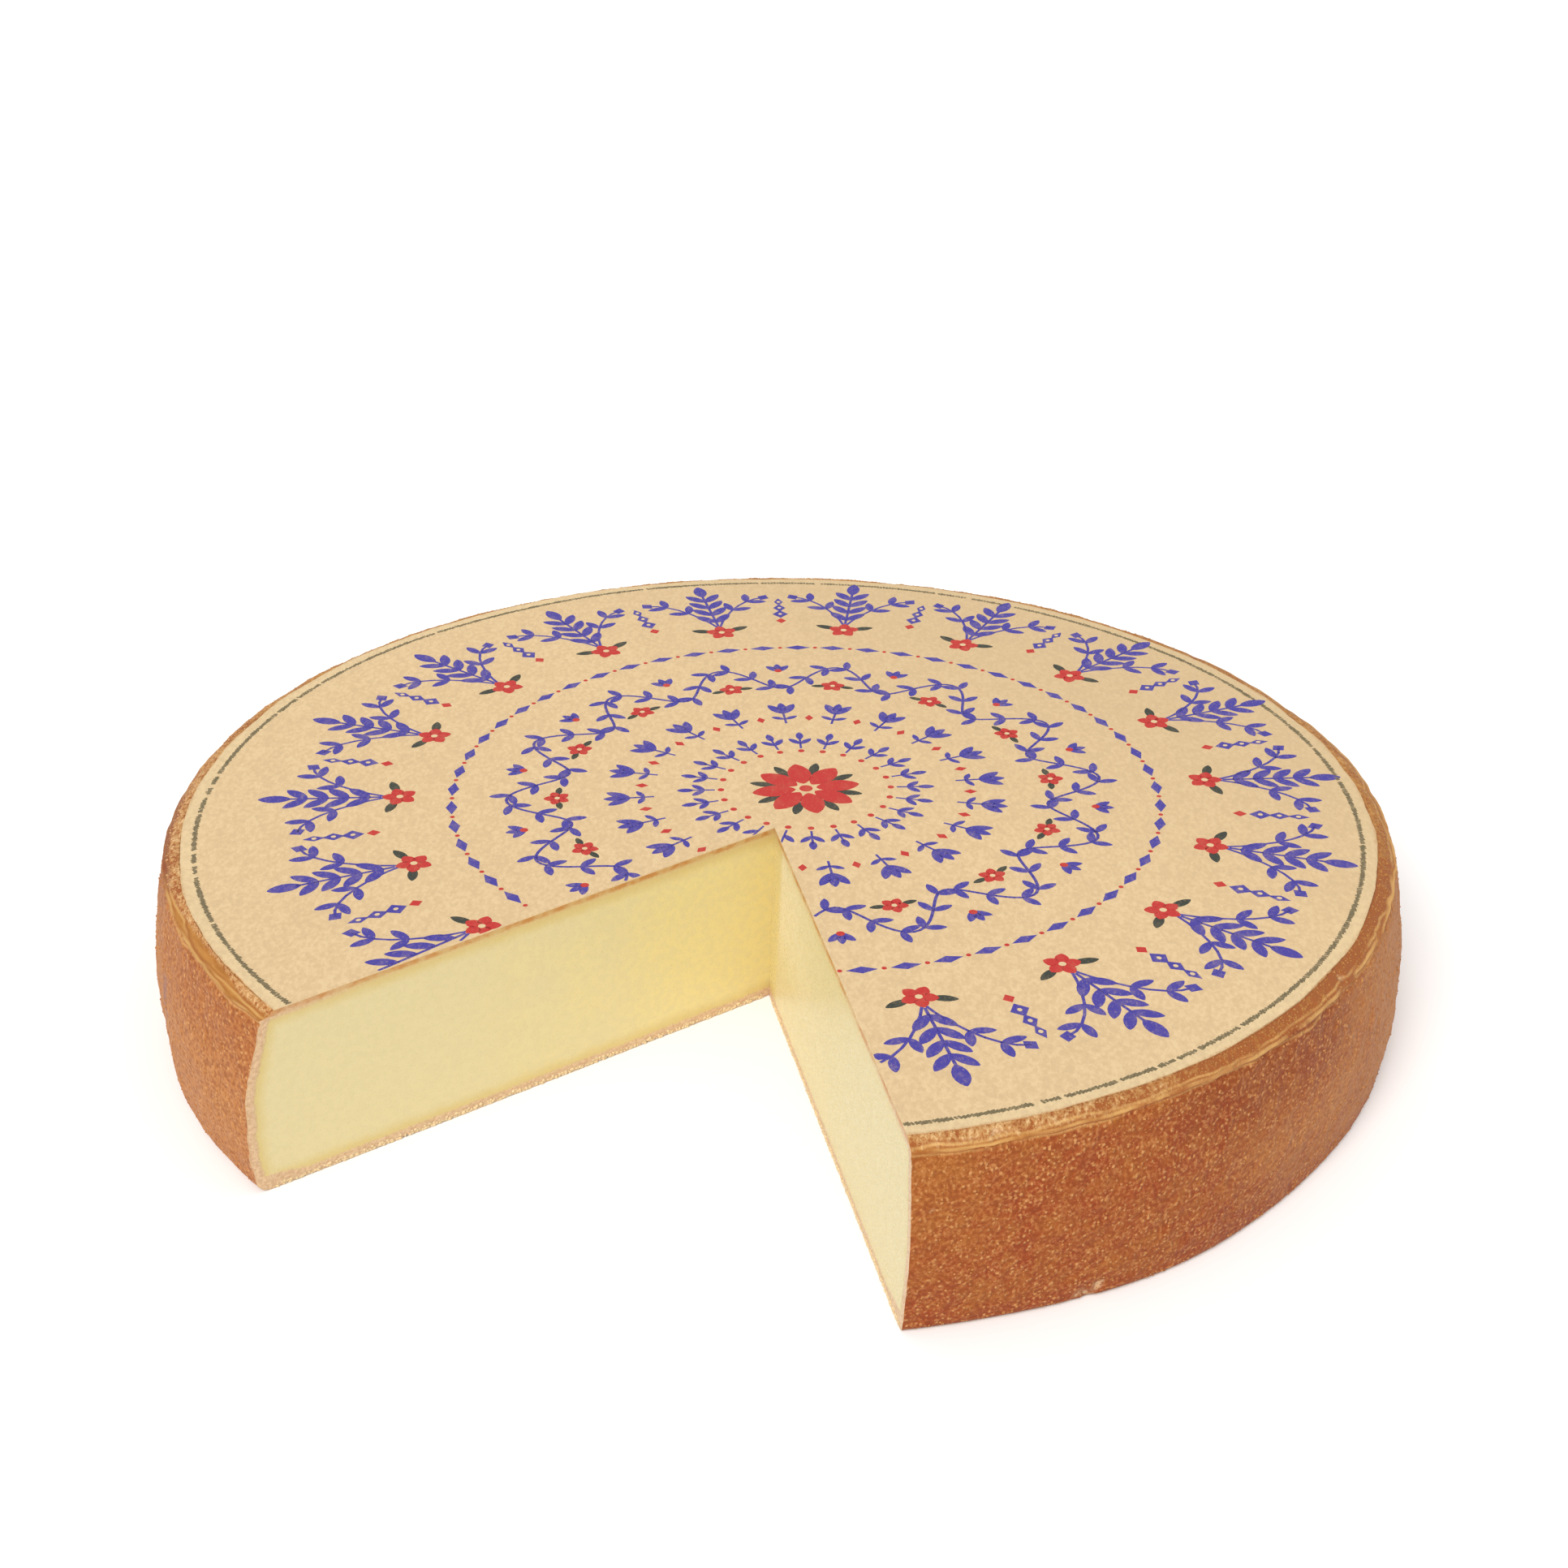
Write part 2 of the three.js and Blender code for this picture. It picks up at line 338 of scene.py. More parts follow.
def build_mesh(name, points, patches, materials, attributes=None, sharp=math.radians(48)):
    """A piece from vertex places and patches of faces.  It lies in its mesh, unturned and unscaled,
    and a closed piece whose faces point out encloses a positive volume, which is tested."""
    mesh = bpy.data.meshes.new(name)
    loops = np.concatenate([patch.corners.ravel() for patch in patches])
    sizes = np.concatenate([np.full(len(p.corners), p.corners.shape[1]) for p in patches])
    starts = np.concatenate([[0], np.cumsum(sizes)[:-1]])
    mesh.vertices.add(len(points))
    mesh.vertices.foreach_set("co", np.ascontiguousarray(points, np.float32).ravel())
    mesh.loops.add(len(loops))
    mesh.loops.foreach_set("vertex_index", loops.astype(np.int32))
    mesh.polygons.add(len(sizes))
    mesh.polygons.foreach_set("loop_start", starts.astype(np.int32))
    kinds = np.concatenate([np.full(len(p.corners), p.material) for p in patches])
    mesh.polygons.foreach_set("material_index", kinds.astype(np.int32))
    mesh.update(calc_edges=True)
    mesh.validate()
    places = np.concatenate([patch.places.reshape(-1, 2) for patch in patches])
    layer = mesh.uv_layers.new(name="OFBake")
    layer.uv.foreach_set("vector", places.astype(np.float32).ravel())
    for word, values in (attributes or {}).items():
        mesh.attributes.new(word, "FLOAT", "POINT").data.foreach_set(
            "value", np.ascontiguousarray(values, np.float32)
        )
    mesh.shade_smooth()
    mesh.set_sharp_from_angle(angle=sharp)
    for material in materials:
        mesh.materials.append(material)
    if enclosed(points, patches) <= 0.0:
        raise RuntimeError(f"{name} is inside out")
    piece = bpy.data.objects.new(name, mesh)
    bpy.context.scene.collection.objects.link(piece)
    return piece


def enclosed(points, patches):
    """Volume inside the faces: a sixth of the sum of the corner products of each fan triangle."""
    total = 0.0
    for patch in patches:
        first = points[patch.corners[:, 0]]
        for k in range(1, patch.corners.shape[1] - 1):
            second, third = points[patch.corners[:, k]], points[patch.corners[:, k + 1]]
            total += np.einsum("ij,ij->", first, np.cross(second, third)) / 6.0
    return total


def finish_piece(piece, slot, *nodes):
    """Rides the piece on the body and hides what it stands for.  The slot is not used."""
    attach(piece, BODY)
    if nodes:
        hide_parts(*nodes)


# ------------------------------------------------------------------ material recipes

WIPED = 0.54             # the noise is drawn out front to back by one over this


class Recipe:
    """A principled material and short words for the nodes that feed it."""

    def __init__(self, name, **values):
        self.material = bpy.data.materials.new(name)
        self.material.use_nodes = True
        self.tree = self.material.node_tree
        self.shader = self.tree.nodes["Principled BSDF"]
        for word, value in values.items():
            socket = word.replace("_", " ").title().replace("Ior", "IOR")
            self.shader.inputs[socket].default_value = value
        self.place = self.node("ShaderNodeTexCoord").outputs["Object"]
        wiped = self.node("ShaderNodeMapping", {"Vector": self.place, "Scale": (1.0, WIPED, 1.0)})
        self.wiped_place = wiped.outputs[0]

    def node(self, kind, inputs=None, **settings):
        """A node whose inputs are sockets to link or plain values."""
        made = self.tree.nodes.new(kind)
        for key, value in settings.items():
            setattr(made, key, value)
        for key, value in (inputs or {}).items():
            if isinstance(value, bpy.types.NodeSocket):
                self.tree.links.new(value, made.inputs[key])
            else:
                made.inputs[key].default_value = value
        return made

    def math(self, operation, first, second=0.0):
        """One sum, difference, product or the like of sockets and plain values."""
        return self.node("ShaderNodeMath", {0: first, 1: second}, operation=operation).outputs[0]

    def noise(self, size, detail=2.0, roughness=0.5, swirl=0.0):
        """Cloud noise whose features are about one size across, longer front to back as smear
        that was wiped on, and bent round by the swirl."""
        made = self.node("ShaderNodeTexNoise", {
            "Vector": self.wiped_place, "Scale": 1.0 / size, "Detail": detail, "Roughness": roughness,
            "Distortion": swirl,
        })
        return made.outputs["Fac"]

    def dots(self, spacing, ragged):
        """Round specks about half a spacing across, each of its own strength, with edges made
        ragged by the given socket."""
        made = self.node("ShaderNodeTexVoronoi", {"Vector": self.wiped_place, "Scale": 1.0 / spacing})
        strength = self.node("ShaderNodeSeparateXYZ", {0: made.outputs["Color"]}).outputs["X"]
        away = self.sum(made.outputs["Distance"], ragged)
        return self.times(self.band(away, 0.46, 0.20), self.band(strength, 0.0, 1.0))

    def swing(self, value, reach):
        """A noise value of 0 to 1 made to swing about 0 by about the reach."""
        return self.math("MULTIPLY", self.math("SUBTRACT", value, 0.5), reach)

    def sum(self, *values):
        """Sum of sockets and plain values."""
        total = values[0]
        for value in values[1:]:
            total = self.math("ADD", total, value)
        return total

    def stripes(self, along, along_size, across, across_size, detail=2.0):
        """Noise drawn out into stripes: its features have one size along and another across."""
        flat = self.node("ShaderNodeCombineXYZ", {
            0: self.math("DIVIDE", along, along_size), 1: self.math("DIVIDE", across, across_size),
        })
        made = self.node(
            "ShaderNodeTexNoise", {"Vector": flat.outputs[0], "Scale": 1.0, "Detail": detail}
        )
        return made.outputs["Fac"]

    def times(self, *values):
        """Product of sockets and plain values."""
        total = values[0]
        for value in values[1:]:
            total = self.math("MULTIPLY", total, value)
        return total

    def line(self, value, at, half, soft):
        """1 within half a width of a place, fading to 0 over the soft width."""
        off = self.math("ABSOLUTE", self.math("SUBTRACT", value, at))
        return self.band(off, half + soft, half)

    def band(self, value, low, high):
        """0 at low, 1 at high and a smooth step between; low may be the larger."""
        made = self.node(
            "ShaderNodeMapRange",
            {"Value": value, "From Min": low, "From Max": high},
            interpolation_type="SMOOTHSTEP",
        )
        return made.outputs[0]

    def between(self, value, start, full, fading, end):
        """1 from the second place to the third, 0 before the first and after the fourth."""
        return self.times(self.band(value, start, full), self.band(value, end, fading))

    def blend(self, factor, first, second):
        """Blends two colours, each a socket or a three-part colour."""
        made = self.node("ShaderNodeMix", data_type="RGBA")
        for key, value in ((0, factor), (6, first), (7, second)):
            if isinstance(value, bpy.types.NodeSocket):
                self.tree.links.new(value, made.inputs[key])
            elif key:
                made.inputs[key].default_value = (*value, 1.0)
            else:
                made.inputs[key].default_value = value
        return made.outputs[2]

    def lay(self, base, colour, *shares):
        """Lays a colour over the base, as strongly as the product of the shares says."""
        return self.blend(self.times(*shares), base, colour)

    def axis(self, name):
        """One part of the object coordinates."""
        return self.node("ShaderNodeSeparateXYZ", {0: self.place}).outputs[name]

    def spread(self):
        """Distance from the wheel's axis."""
        level = {0: self.place, 1: (1.0, 1.0, 0.0)}
        flat = self.node("ShaderNodeVectorMath", level, operation="MULTIPLY")
        made = self.node("ShaderNodeVectorMath", {0: flat.outputs[0]}, operation="LENGTH")
        return made.outputs["Value"]

    def attribute(self, name):
        """A value that the mesh carries at each vertex."""
        return self.node("ShaderNodeAttribute", attribute_name=name).outputs["Fac"]

    def paint(self, base, roughness=None, height=None, depth=0.0):
        """Feeds the shader: colour, roughness and a bump of so many metres."""
        self.tree.links.new(base, self.shader.inputs["Base Color"])
        if roughness is not None:
            self.tree.links.new(roughness, self.shader.inputs["Roughness"])
        if height is not None:
            bump = self.node("ShaderNodeBump", {"Height": height, "Distance": depth, "Strength": 1.0})
            self.tree.links.new(bump.outputs[0], self.shader.inputs["Normal"])
        return self.material


# Stretches of the side, in metres round it from the right cut: each starts, is full, begins to
# fade and ends.
# The drier stretch is also painted light: the sides are made lighter tan than the front.
DRY_AND_LIT = (0.16, 0.40, 1.60, 1.80)
# A pale smear, partly a painted sheen.
PALE_SMEAR_AND_SHEEN = (0.16, 0.21, 0.26, 0.33)
# Wetter smear and painted shade under the rim at the right.
WET_AND_SHADE_RIGHT = (0.12, 0.17, 0.25, 0.30)
# Painted shade under the lip by the left cut.
SHADE_LEFT = (1.33, 1.42, 1.48, 1.53)
RUSTY_LEDGE = (0.10, 0.22, 0.34, 0.46)
RUSTY_SHOULDER = (0.08, 0.20, 0.34, 0.46)
GOLDEN_SHOULDER = (0.08, 0.22, 1.30, 1.42)
# Painted shade along the lip by the left cut.
SHADE_BY_LIP = (1.36, 1.43, 1.48, 1.52)

# Creases round the rim: distance in from the lip, how far each wanders and the length of its
# waves, all in millimetres, then where in the noise it lies and how strong its pale line is.
# Each crease's pale line and the rust line beside it are partly painted highlight and shade.
CREASES = (
    (0.2, 0.0, 40.0, 0.0, 0.8),
    (1.9, 9.0, 50.0, 3.0, 0.65),
    (-1.6, -9.0, 60.0, 7.0, 0.55),
)

SMUDGE = (-295.5 * MM, -121.5 * MM, 51.5 * MM)
SMUDGE_SQUEEZE = (1.0, 1.0, 0.4)       # distances from its middle count less up and down


def heel_ground(mix, look, up, along, cloud, patch, dry_and_lit):
    """Ground of the side: russet, brown and gold patches, tan where it is drier and where the sides
    are painted lighter as if more strongly lit, along one pale smear with a painted sheen, more
    golden by the right cut and browner by the left one."""
    tint = mix.noise(look.grain * 4.5, 2.0, 0.6)
    by_right = mix.times(mix.band(along, 0.05, 0.0), mix.band(up, 30.0 * MM, 75.0 * MM))
    by_left = mix.times(mix.band(along, 1.48, 1.60), mix.band(up, 40.0 * MM, 80.0 * MM))
    level = mix.sum(up, mix.swing(cloud, 16.0 * MM))
    smear = mix.line(level, 40.0 * MM, 3.0 * MM, 14.0 * MM)
    base = mix.blend(mix.band(patch, 0.38, 0.60), look.russet, look.brown)
    base = mix.lay(base, look.gold, mix.band(tint, 0.44, 0.64), 0.42)
    base = mix.lay(base, look.gold, mix.band(cloud, 0.46, 0.66), 0.3)
    # Painted light as well as drier rind: the sides are laid lighter tan.
    base = mix.lay(base, look.tan, dry_and_lit, 0.88)
    base = mix.lay(base, look.gold, mix.band(up, 66.0 * MM, 90.0 * MM), 0.2)
    base = mix.lay(base, look.gold, by_right, 0.6)
    base = mix.lay(base, look.brown, by_left, 0.45)
    # The pale smear is partly a painted sheen.
    return mix.lay(base, look.tan, mix.between(along, *PALE_SMEAR_AND_SHEEN), smear, 0.4)


def heel_wet_and_shade(mix, up, along, low):
    """Where the side is darker: wetter smear with painted shade under a stretch of the rim at the
    right, painted shade under the lip by the left cut, and dirt with painted shade along the foot
    where it turns under.
    """
    rim = mix.attribute("rim")
    # Wetter smear and painted shade under the rim at the right.
    wet_and_shade_right = mix.times(mix.between(along, *WET_AND_SHADE_RIGHT), mix.band(rim, -40.0 * MM, -14.0 * MM))
    # Painted shade under the lip by the left cut.
    shade_left = mix.times(mix.between(along, *SHADE_LEFT), mix.band(rim, -30.0 * MM, -12.0 * MM))
    # Dirt and painted shade along the foot, where it turns under.
    dirt_and_shade_foot = mix.times(mix.band(up, 4.5 * MM, 0.8 * MM), low)
    return mix.sum(mix.times(wet_and_shade_right, 0.5), mix.times(shade_left, 0.45), dirt_and_shade_foot)


def heel_colour(mix, look, up, along, cloud):
    """Smeared side: the ground, russet along the foot, and darker with wetter smear and painted
    shade under the rim and along the foot, all broken up by soft pale grains, round pale specks
    and dark pores, which are weaker on the drier sides that are also painted lighter, and stronger
    by the left cut.  Gives the colour and the relief."""
    patch = mix.noise(look.patch, 3.0, 0.6)
    # The drier sides, which are also painted lighter as if more strongly lit.
    dry_and_lit = mix.between(mix.sum(along, mix.swing(patch, 0.25)), *DRY_AND_LIT)
    low = mix.sum(0.5, mix.times(mix.band(along, 1.36, 1.52), -0.4))
    base = heel_ground(mix, look, up, along, cloud, patch, dry_and_lit)
    base = mix.lay(base, look.russet, mix.band(up, 16.0 * MM, 3.0 * MM), low)
    # Darker with wetter smear and painted shade under the rim and along the foot.
    base = mix.lay(base, look.wet_and_shade, heel_wet_and_shade(mix, up, along, low))
    speck = mix.noise(look.grain, 1.6, 0.62)
    dots = mix.dots(look.grain * 1.3, mix.swing(speck, -0.5))
    strength = mix.sum(
        1.0, mix.times(dry_and_lit, -0.3), mix.times(mix.band(cloud, 0.46, 0.62), -0.2),
        mix.times(mix.band(along, 1.40, 1.56), 0.4),
    )
    base = mix.lay(base, look.pit, mix.band(speck, 0.54, 0.32), strength, 0.42)
    base = mix.lay(base, look.pale, mix.band(speck, 0.46, 0.78), strength, 0.42)
    base = mix.lay(base, look.pale, dots, strength, 0.75)
    return base, mix.sum(mix.times(speck, 0.9), mix.times(dots, 0.5), mix.times(cloud, 0.6))


def shoulder_colour(mix, look, rim, along):
    """Crumbly shoulder: fine radial streaks of rust and cream on a dry crust, with redder and
    creamier patches, redder at the right and more golden round the back."""
    comb = mix.stripes(along, 1.1 * MM, rim, 3.5 * MM, 1.0)
    crumb = mix.noise(1.7 * MM, 2.0, 0.6, 0.3)
    patch = mix.noise(16.0 * MM, 3.0, 0.6)
    rusty = mix.between(along, *RUSTY_SHOULDER)
    streak = mix.sum(
        0.5, mix.swing(comb, 0.3), mix.swing(crumb, 0.9), mix.swing(patch, 0.7),
        mix.times(rusty, -0.23),
    )
    golden = mix.times(mix.between(along, *GOLDEN_SHOULDER), 0.75)
    crust = mix.blend(golden, look.crust, look.ledge)
    cream = mix.blend(golden, look.cream, look.honey)
    base = mix.blend(mix.band(streak, 0.34, 0.52), look.rust, crust)
    base = mix.lay(base, cream, mix.band(streak, 0.50, 0.68))
    return mix.lay(base, look.rust, rusty, 0.35), streak


def rim_colours(mix, look, base, along):
    """Lays the rim's bands over the side, by distance in from the lip: the golden ledge, the crumbly
    shoulder inside it, thin pale creases with rusty grooves that wander, fade and meet one another,
    the pale lines and the grooves partly painted highlight and shade of the ridges, and painted
    shade along the lip by the left cut."""
    rim, ledge = mix.attribute("rim"), mix.attribute("ledge")
    place = mix.sum(rim, mix.swing(mix.stripes(along, 22.0 * MM, rim, 0.1), 1.6 * MM))
    ragged = mix.swing(mix.noise(1.6 * MM, 2.0, 0.6), 3.2 * MM)
    tone = mix.stripes(along, 30.0 * MM, rim, 1.6 * MM)
    smooth = mix.blend(mix.band(tone, 0.34, 0.66), look.ledge, look.honey)
    smooth = mix.lay(smooth, look.rust, mix.between(along, *RUSTY_LEDGE), 0.4)
    on_rim = mix.band(mix.sum(place, mix.times(ragged, 0.4)), -1.2 * MM, 0.5 * MM)
    base = mix.lay(base, smooth, on_rim, mix.band(ledge, 0.2 * MM, 2.0 * MM), 0.85)
    shoulder, streak = shoulder_colour(mix, look, rim, along)
    inner = mix.sum(place, ragged, mix.times(ledge, -1.0))
    on_shoulder = mix.band(inner, -0.6 * MM, 0.8 * MM)
    base = mix.lay(base, shoulder, on_shoulder)
    for start, drift, wave, spot, pale in CREASES:
        slow = mix.stripes(mix.sum(along, spot), wave * MM, rim, 0.3)
        strong = mix.stripes(mix.sum(along, spot + 1.3), 0.7 * wave * MM, rim, 0.3)
        strong = mix.band(strong, 0.36, 0.56)
        off = mix.math("SUBTRACT", place, mix.sum(start * MM, mix.swing(slow, drift * MM)))
        # The rust line and the pale line are partly painted shade and highlight of the crease.
        base = mix.lay(base, look.rust, mix.line(off, 1.2 * MM, 0.0, 1.1 * MM), strong, 0.55)
        base = mix.lay(base, look.lip, mix.line(off, 0.0, 0.0, 1.0 * MM), strong, pale)
    # Painted shade along the lip by the left cut.
    wet_and_shade = mix.times(
        mix.between(along, *SHADE_BY_LIP), mix.line(rim, 0.8 * MM, 1.6 * MM, 1.8 * MM)
    )
    return mix.lay(base, look.wet_and_shade, wet_and_shade, 0.7), on_rim, on_shoulder, streak


def smudge(mix, look, base, cloud):
    """A violet smudge on the left of the side, taller than it is wide."""
    place = mix.node("ShaderNodeMapping", {
        "Vector": mix.place, "Scale": SMUDGE_SQUEEZE,
        "Location": [-part * squeeze for part, squeeze in zip(SMUDGE, SMUDGE_SQUEEZE)],
    })
    away = mix.node("ShaderNodeVectorMath", {0: place.outputs[0]}, operation="LENGTH")
    away = mix.sum(away.outputs["Value"], mix.swing(cloud, 14.0 * MM))
    return mix.lay(base, look.stain, mix.band(away, 9.0 * MM, 1.5 * MM), 0.45)


def rind_material(look):
    """Smeared rind: the speckled side, the rim's bands, pale chips, a violet smudge and a duller
    base."""
    mix = Recipe(
        "smeared_rind", roughness=0.7, specular_ior_level=0.18, sheen_weight=0.06,
        sheen_roughness=0.5, sheen_tint=(1.0, 0.82, 0.70, 1.0),
    )
    up, along = mix.axis("Z"), mix.attribute("along")
    cloud = mix.noise(look.patch / 4.0, 3.0, 0.6)
    base, relief = heel_colour(mix, look, up, along, cloud)
    base, on_rim, on_shoulder, streak = rim_colours(mix, look, base, along)
    foot = mix.lay(look.base, look.gold, mix.band(cloud, 0.34, 0.66), 0.3)
    base = mix.lay(base, foot, mix.band(up, 1.8 * MM, 0.3 * MM), 0.85)
    base = smudge(mix, look, base, cloud)
    fleck = mix.band(mix.noise(1.4 * MM, 2.0, 0.6), 0.42, 0.56)
    base = mix.lay(base, look.chip, mix.attribute("chip"), mix.sum(0.25, mix.times(fleck, 0.75)))
    relief = mix.times(relief, mix.sum(1.0, mix.times(on_rim, -0.8)))
    relief = mix.sum(relief, mix.times(streak, on_shoulder))
    return mix.paint(base, mix.sum(mix.times(cloud, 0.25), 0.55), relief, 0.7 * MM)


def off_left_cut(mix, shape):
    """Distance from the left cut in the upper face, greater towards the right."""
    sine, cosine = math.sin(shape.left_cut[1]), math.cos(shape.left_cut[1])
    x, y = shape.notch_top
    return mix.sum(
        mix.times(mix.axis("X"), -sine), mix.times(mix.axis("Y"), cosine), x * sine - y * cosine
    )


def cut_rind(mix, look):
    """The rind where it is cut: beige with darker and lighter grains.  Gives the grain too."""
    grain = mix.noise(1.5 * MM, 2.0, 0.65, 0.4)
    light = tuple(min(1.0, part * 1.18) for part in look.rind_edge)
    rind = mix.lay(look.rind_edge, look.rind_grain, mix.band(grain, 0.56, 0.36), 0.6)
    return mix.lay(rind, light, mix.band(grain, 0.50, 0.68), 0.6), grain


def paste_colour(mix, look, shape, up, side, near):
    """Pale yellow paste, deeper towards the middle of the wheel and next to the rind, and paler and
    less yellow on the right cut, which is painted light, strongest high up towards the notch's apex."""
    cloud = mix.noise(30.0 * MM, 3.0, 0.5)
    mottle = mix.noise(3.2 * MM, 1.5, 0.5)
    # Painted light: the right cut is made paler and less yellow, as if more strongly lit.
    lit_right_cut = mix.band(off_left_cut(mix, shape), 13.4 * MM, 22.0 * MM)
    yellower = mix.sum(1.0, mix.times(lit_right_cut, -0.75))
    deep = mix.band(mix.sum(side, mix.swing(cloud, 160.0 * MM)), 110.0 * MM, 270.0 * MM)
    high = mix.sum(0.3, mix.times(mix.band(up, 25.0 * MM, 60.0 * MM), 0.7))
    darker = tuple(part * 0.92 for part in look.paste)
    base = mix.lay(look.paste, look.deep, deep, yellower)
    # Painted light, strongest high up towards the notch's apex.
    base = mix.lay(base, look.painted_light_paste, lit_right_cut, mix.band(side, 150.0 * MM, 290.0 * MM), high)
    base = mix.lay(base, darker, mix.band(mottle, 0.62, 0.38), 0.35)
    under = mix.band(near, look.under_depth, 0.35 * look.under_depth)
    return mix.lay(base, look.under_rind, under, yellower, 0.9)


def rind_bands(mix, look, base, rind, up, side, ragged, wander):
    """Lays the cut rind of the side and of the base over the paste, wider in the corner between
    them, with a thin darker outline.  Gives the colour and where the rind is."""
    edge = mix.sum(side, ragged, mix.times(wander, 0.25))
    foot = mix.sum(up, ragged, mix.times(wander, 0.35))
    corner = mix.sum(foot, mix.times(mix.band(side, 30.0 * MM, 4.0 * MM), -3.5 * MM))
    on_edge = mix.band(edge, look.side_depth, look.side_depth * 0.7)
    on_foot = mix.band(corner, look.base_depth, look.base_depth * 0.7)
    on_rind = mix.math("MAXIMUM", on_edge, on_foot)
    outline = mix.math(
        "MAXIMUM", mix.band(edge, 0.9 * MM, 0.1 * MM), mix.band(foot, 0.9 * MM, 0.0)
    )
    base = mix.lay(base, rind, on_rind)
    return mix.lay(base, look.rind_grain, outline, 0.4), on_rind


def roof_line(mix, look, base, rind, lid, side, ragged, wander):
    """Lays the rind under the label over the paste: a pale band, stronger towards the side, and
    a worn brown line at its top."""
    roof = mix.sum(lid, mix.times(ragged, 0.35), mix.times(wander, 0.15))
    shade = mix.band(mix.sum(side, wander, wander), 60.0 * MM, 8.0 * MM)
    worn = mix.band(mix.noise(7.0 * MM, 3.0, 0.6), 0.36, 0.62)
    pale, brown = mix.band(roof, 5.5 * MM, 3.0 * MM), mix.band(roof, 3.4 * MM, 1.4 * MM)
    base = mix.lay(base, rind, pale, mix.sum(0.25, mix.times(shade, 0.65)))
    return mix.lay(base, look.roof, brown, mix.sum(0.35, mix.times(worn, 0.6)))


def paste_material(look, shape):
    """Cut paste, with the rind's own grainy cut bands along the side, the base and the top.  The
    vertex value 'inset' holds the distance in from the side; height gives the other two."""
    mix = Recipe(
        "cut_paste", roughness=0.5, specular_ior_level=0.28, subsurface_weight=0.12,
        subsurface_scale=0.008, subsurface_radius=(1.0, 0.66, 0.35),
    )
    up, side = mix.axis("Z"), mix.attribute("inset")
    lid = mix.math("SUBTRACT", shape.height, up)
    wander = mix.swing(mix.noise(9.0 * MM, 2.0, 0.6), 4.0 * MM)
    ragged = mix.swing(mix.noise(1.8 * MM, 3.0, 0.7), 3.4 * MM)
    near = mix.math("MINIMUM", side, mix.math("MINIMUM", mix.sum(lid, 1.0 * MM), up))
    base = paste_colour(mix, look, shape, up, side, mix.sum(near, wander))
    rind, grain = cut_rind(mix, look)
    base, on_rind = rind_bands(mix, look, base, rind, up, side, ragged, wander)
    base = roof_line(mix, look, base, rind, lid, side, ragged, wander)
    pores = mix.noise(0.9 * MM, 2.0, 0.6)
    height = mix.sum(
        mix.times(pores, 0.15), mix.times(mix.noise(14.0 * MM, 2.0, 0.5), 0.5),
        mix.times(on_rind, grain, 1.6),
    )
    return mix.paint(base, mix.band(pores, 0.0, 1.2), height, 0.2 * MM)


def paper_material(look):
    """Tan paper: soft mottle as of damp fibres, a lighter strip outside the ring, a soiled edge, and
    painted shade that darkens it towards the back right."""
    mix = Recipe("label_paper", roughness=0.8, specular_ior_level=0.25)
    far = mix.spread()
    cloud = mix.noise(11.0 * MM, 3.0, 0.6)
    mottle = mix.noise(2.0 * MM, 1.5, 0.55, 0.3)
    fibre = mix.noise(1.3 * MM, 2.0, 0.6, 1.0)
    outside = mix.band(far, look.ring_radius - 1.5 * MM, look.ring_radius + 1.5 * MM)
    base = mix.lay(look.paper, look.border, outside)
    light = tuple(part * 1.13 for part in look.border)
    dull = tuple(part * 0.84 for part in look.paper)
    blot = mix.sum(mottle, mix.swing(fibre, 0.35), mix.swing(cloud, 0.3))
    base = mix.lay(base, light, mix.band(blot, 0.44, 0.74), 0.5)
    base = mix.lay(base, dull, mix.band(blot, 0.56, 0.26), 0.4)
    # Painted shade: the paper darkens towards the back right.
    painted_shade = mix.band(mix.sum(mix.axis("X"), mix.axis("Y")), 20.0 * MM, 420.0 * MM)
    base = mix.lay(base, dull, painted_shade, 0.5)
    worn = mix.sum(far, mix.swing(cloud, 3.0 * MM), mix.swing(fibre, 5.0 * MM))
    worn = mix.band(worn, look.radius - 1.6 * MM, look.radius + 0.6 * MM)
    base = mix.lay(base, look.soil, worn, 0.5)
    height = mix.sum(fibre, mix.times(cloud, 2.0), mix.times(mottle, 1.5))
    return mix.paint(base, mix.band(fibre, -1.2, 1.0), height, 0.12 * MM)


def ink_material(name, ink, paper, cover):
    """Printed ink: the ink colour with the paper showing through where the coverage is thin."""
    mix = Recipe(name, roughness=0.62, specular_ior_level=0.3)
    speckle = mix.noise(1.1 * MM, 3.0, 0.7)
    cloud = mix.noise(6.0 * MM, 2.0, 0.6)
    bare = 1.0 - cover
    thin = mix.sum(
        mix.times(mix.band(speckle, 0.50, 0.72), bare),
        mix.times(mix.band(cloud, 0.45, 0.75), 0.5 * bare),
    )
    return mix.paint(
        mix.lay(ink, paper, thin), mix.band(speckle, -0.8, 1.4), speckle, 0.05 * MM
    )


# ------------------------------------------------------------------ the cheese itself

COLUMNS = 800            # round the side, from the right cut on to the left one
FOOT_ROWS = 8
HEEL_ROWS = 58
LEDGE_ROWS = 4
SHOULDER_ROWS = 8
DEPTHS = 48              # from the rim in to the notch's apex
HEEL_CROWDING = 1.35     # above one, the side's rows lie closer together towards the lip
DEPTH_CROWDING = 1.7     # above one, the inward steps are shorter towards the rim
STITCH = 4               # side columns to one column of the flat faces
HEEL_TOP_SPAN = 6.0 * MM

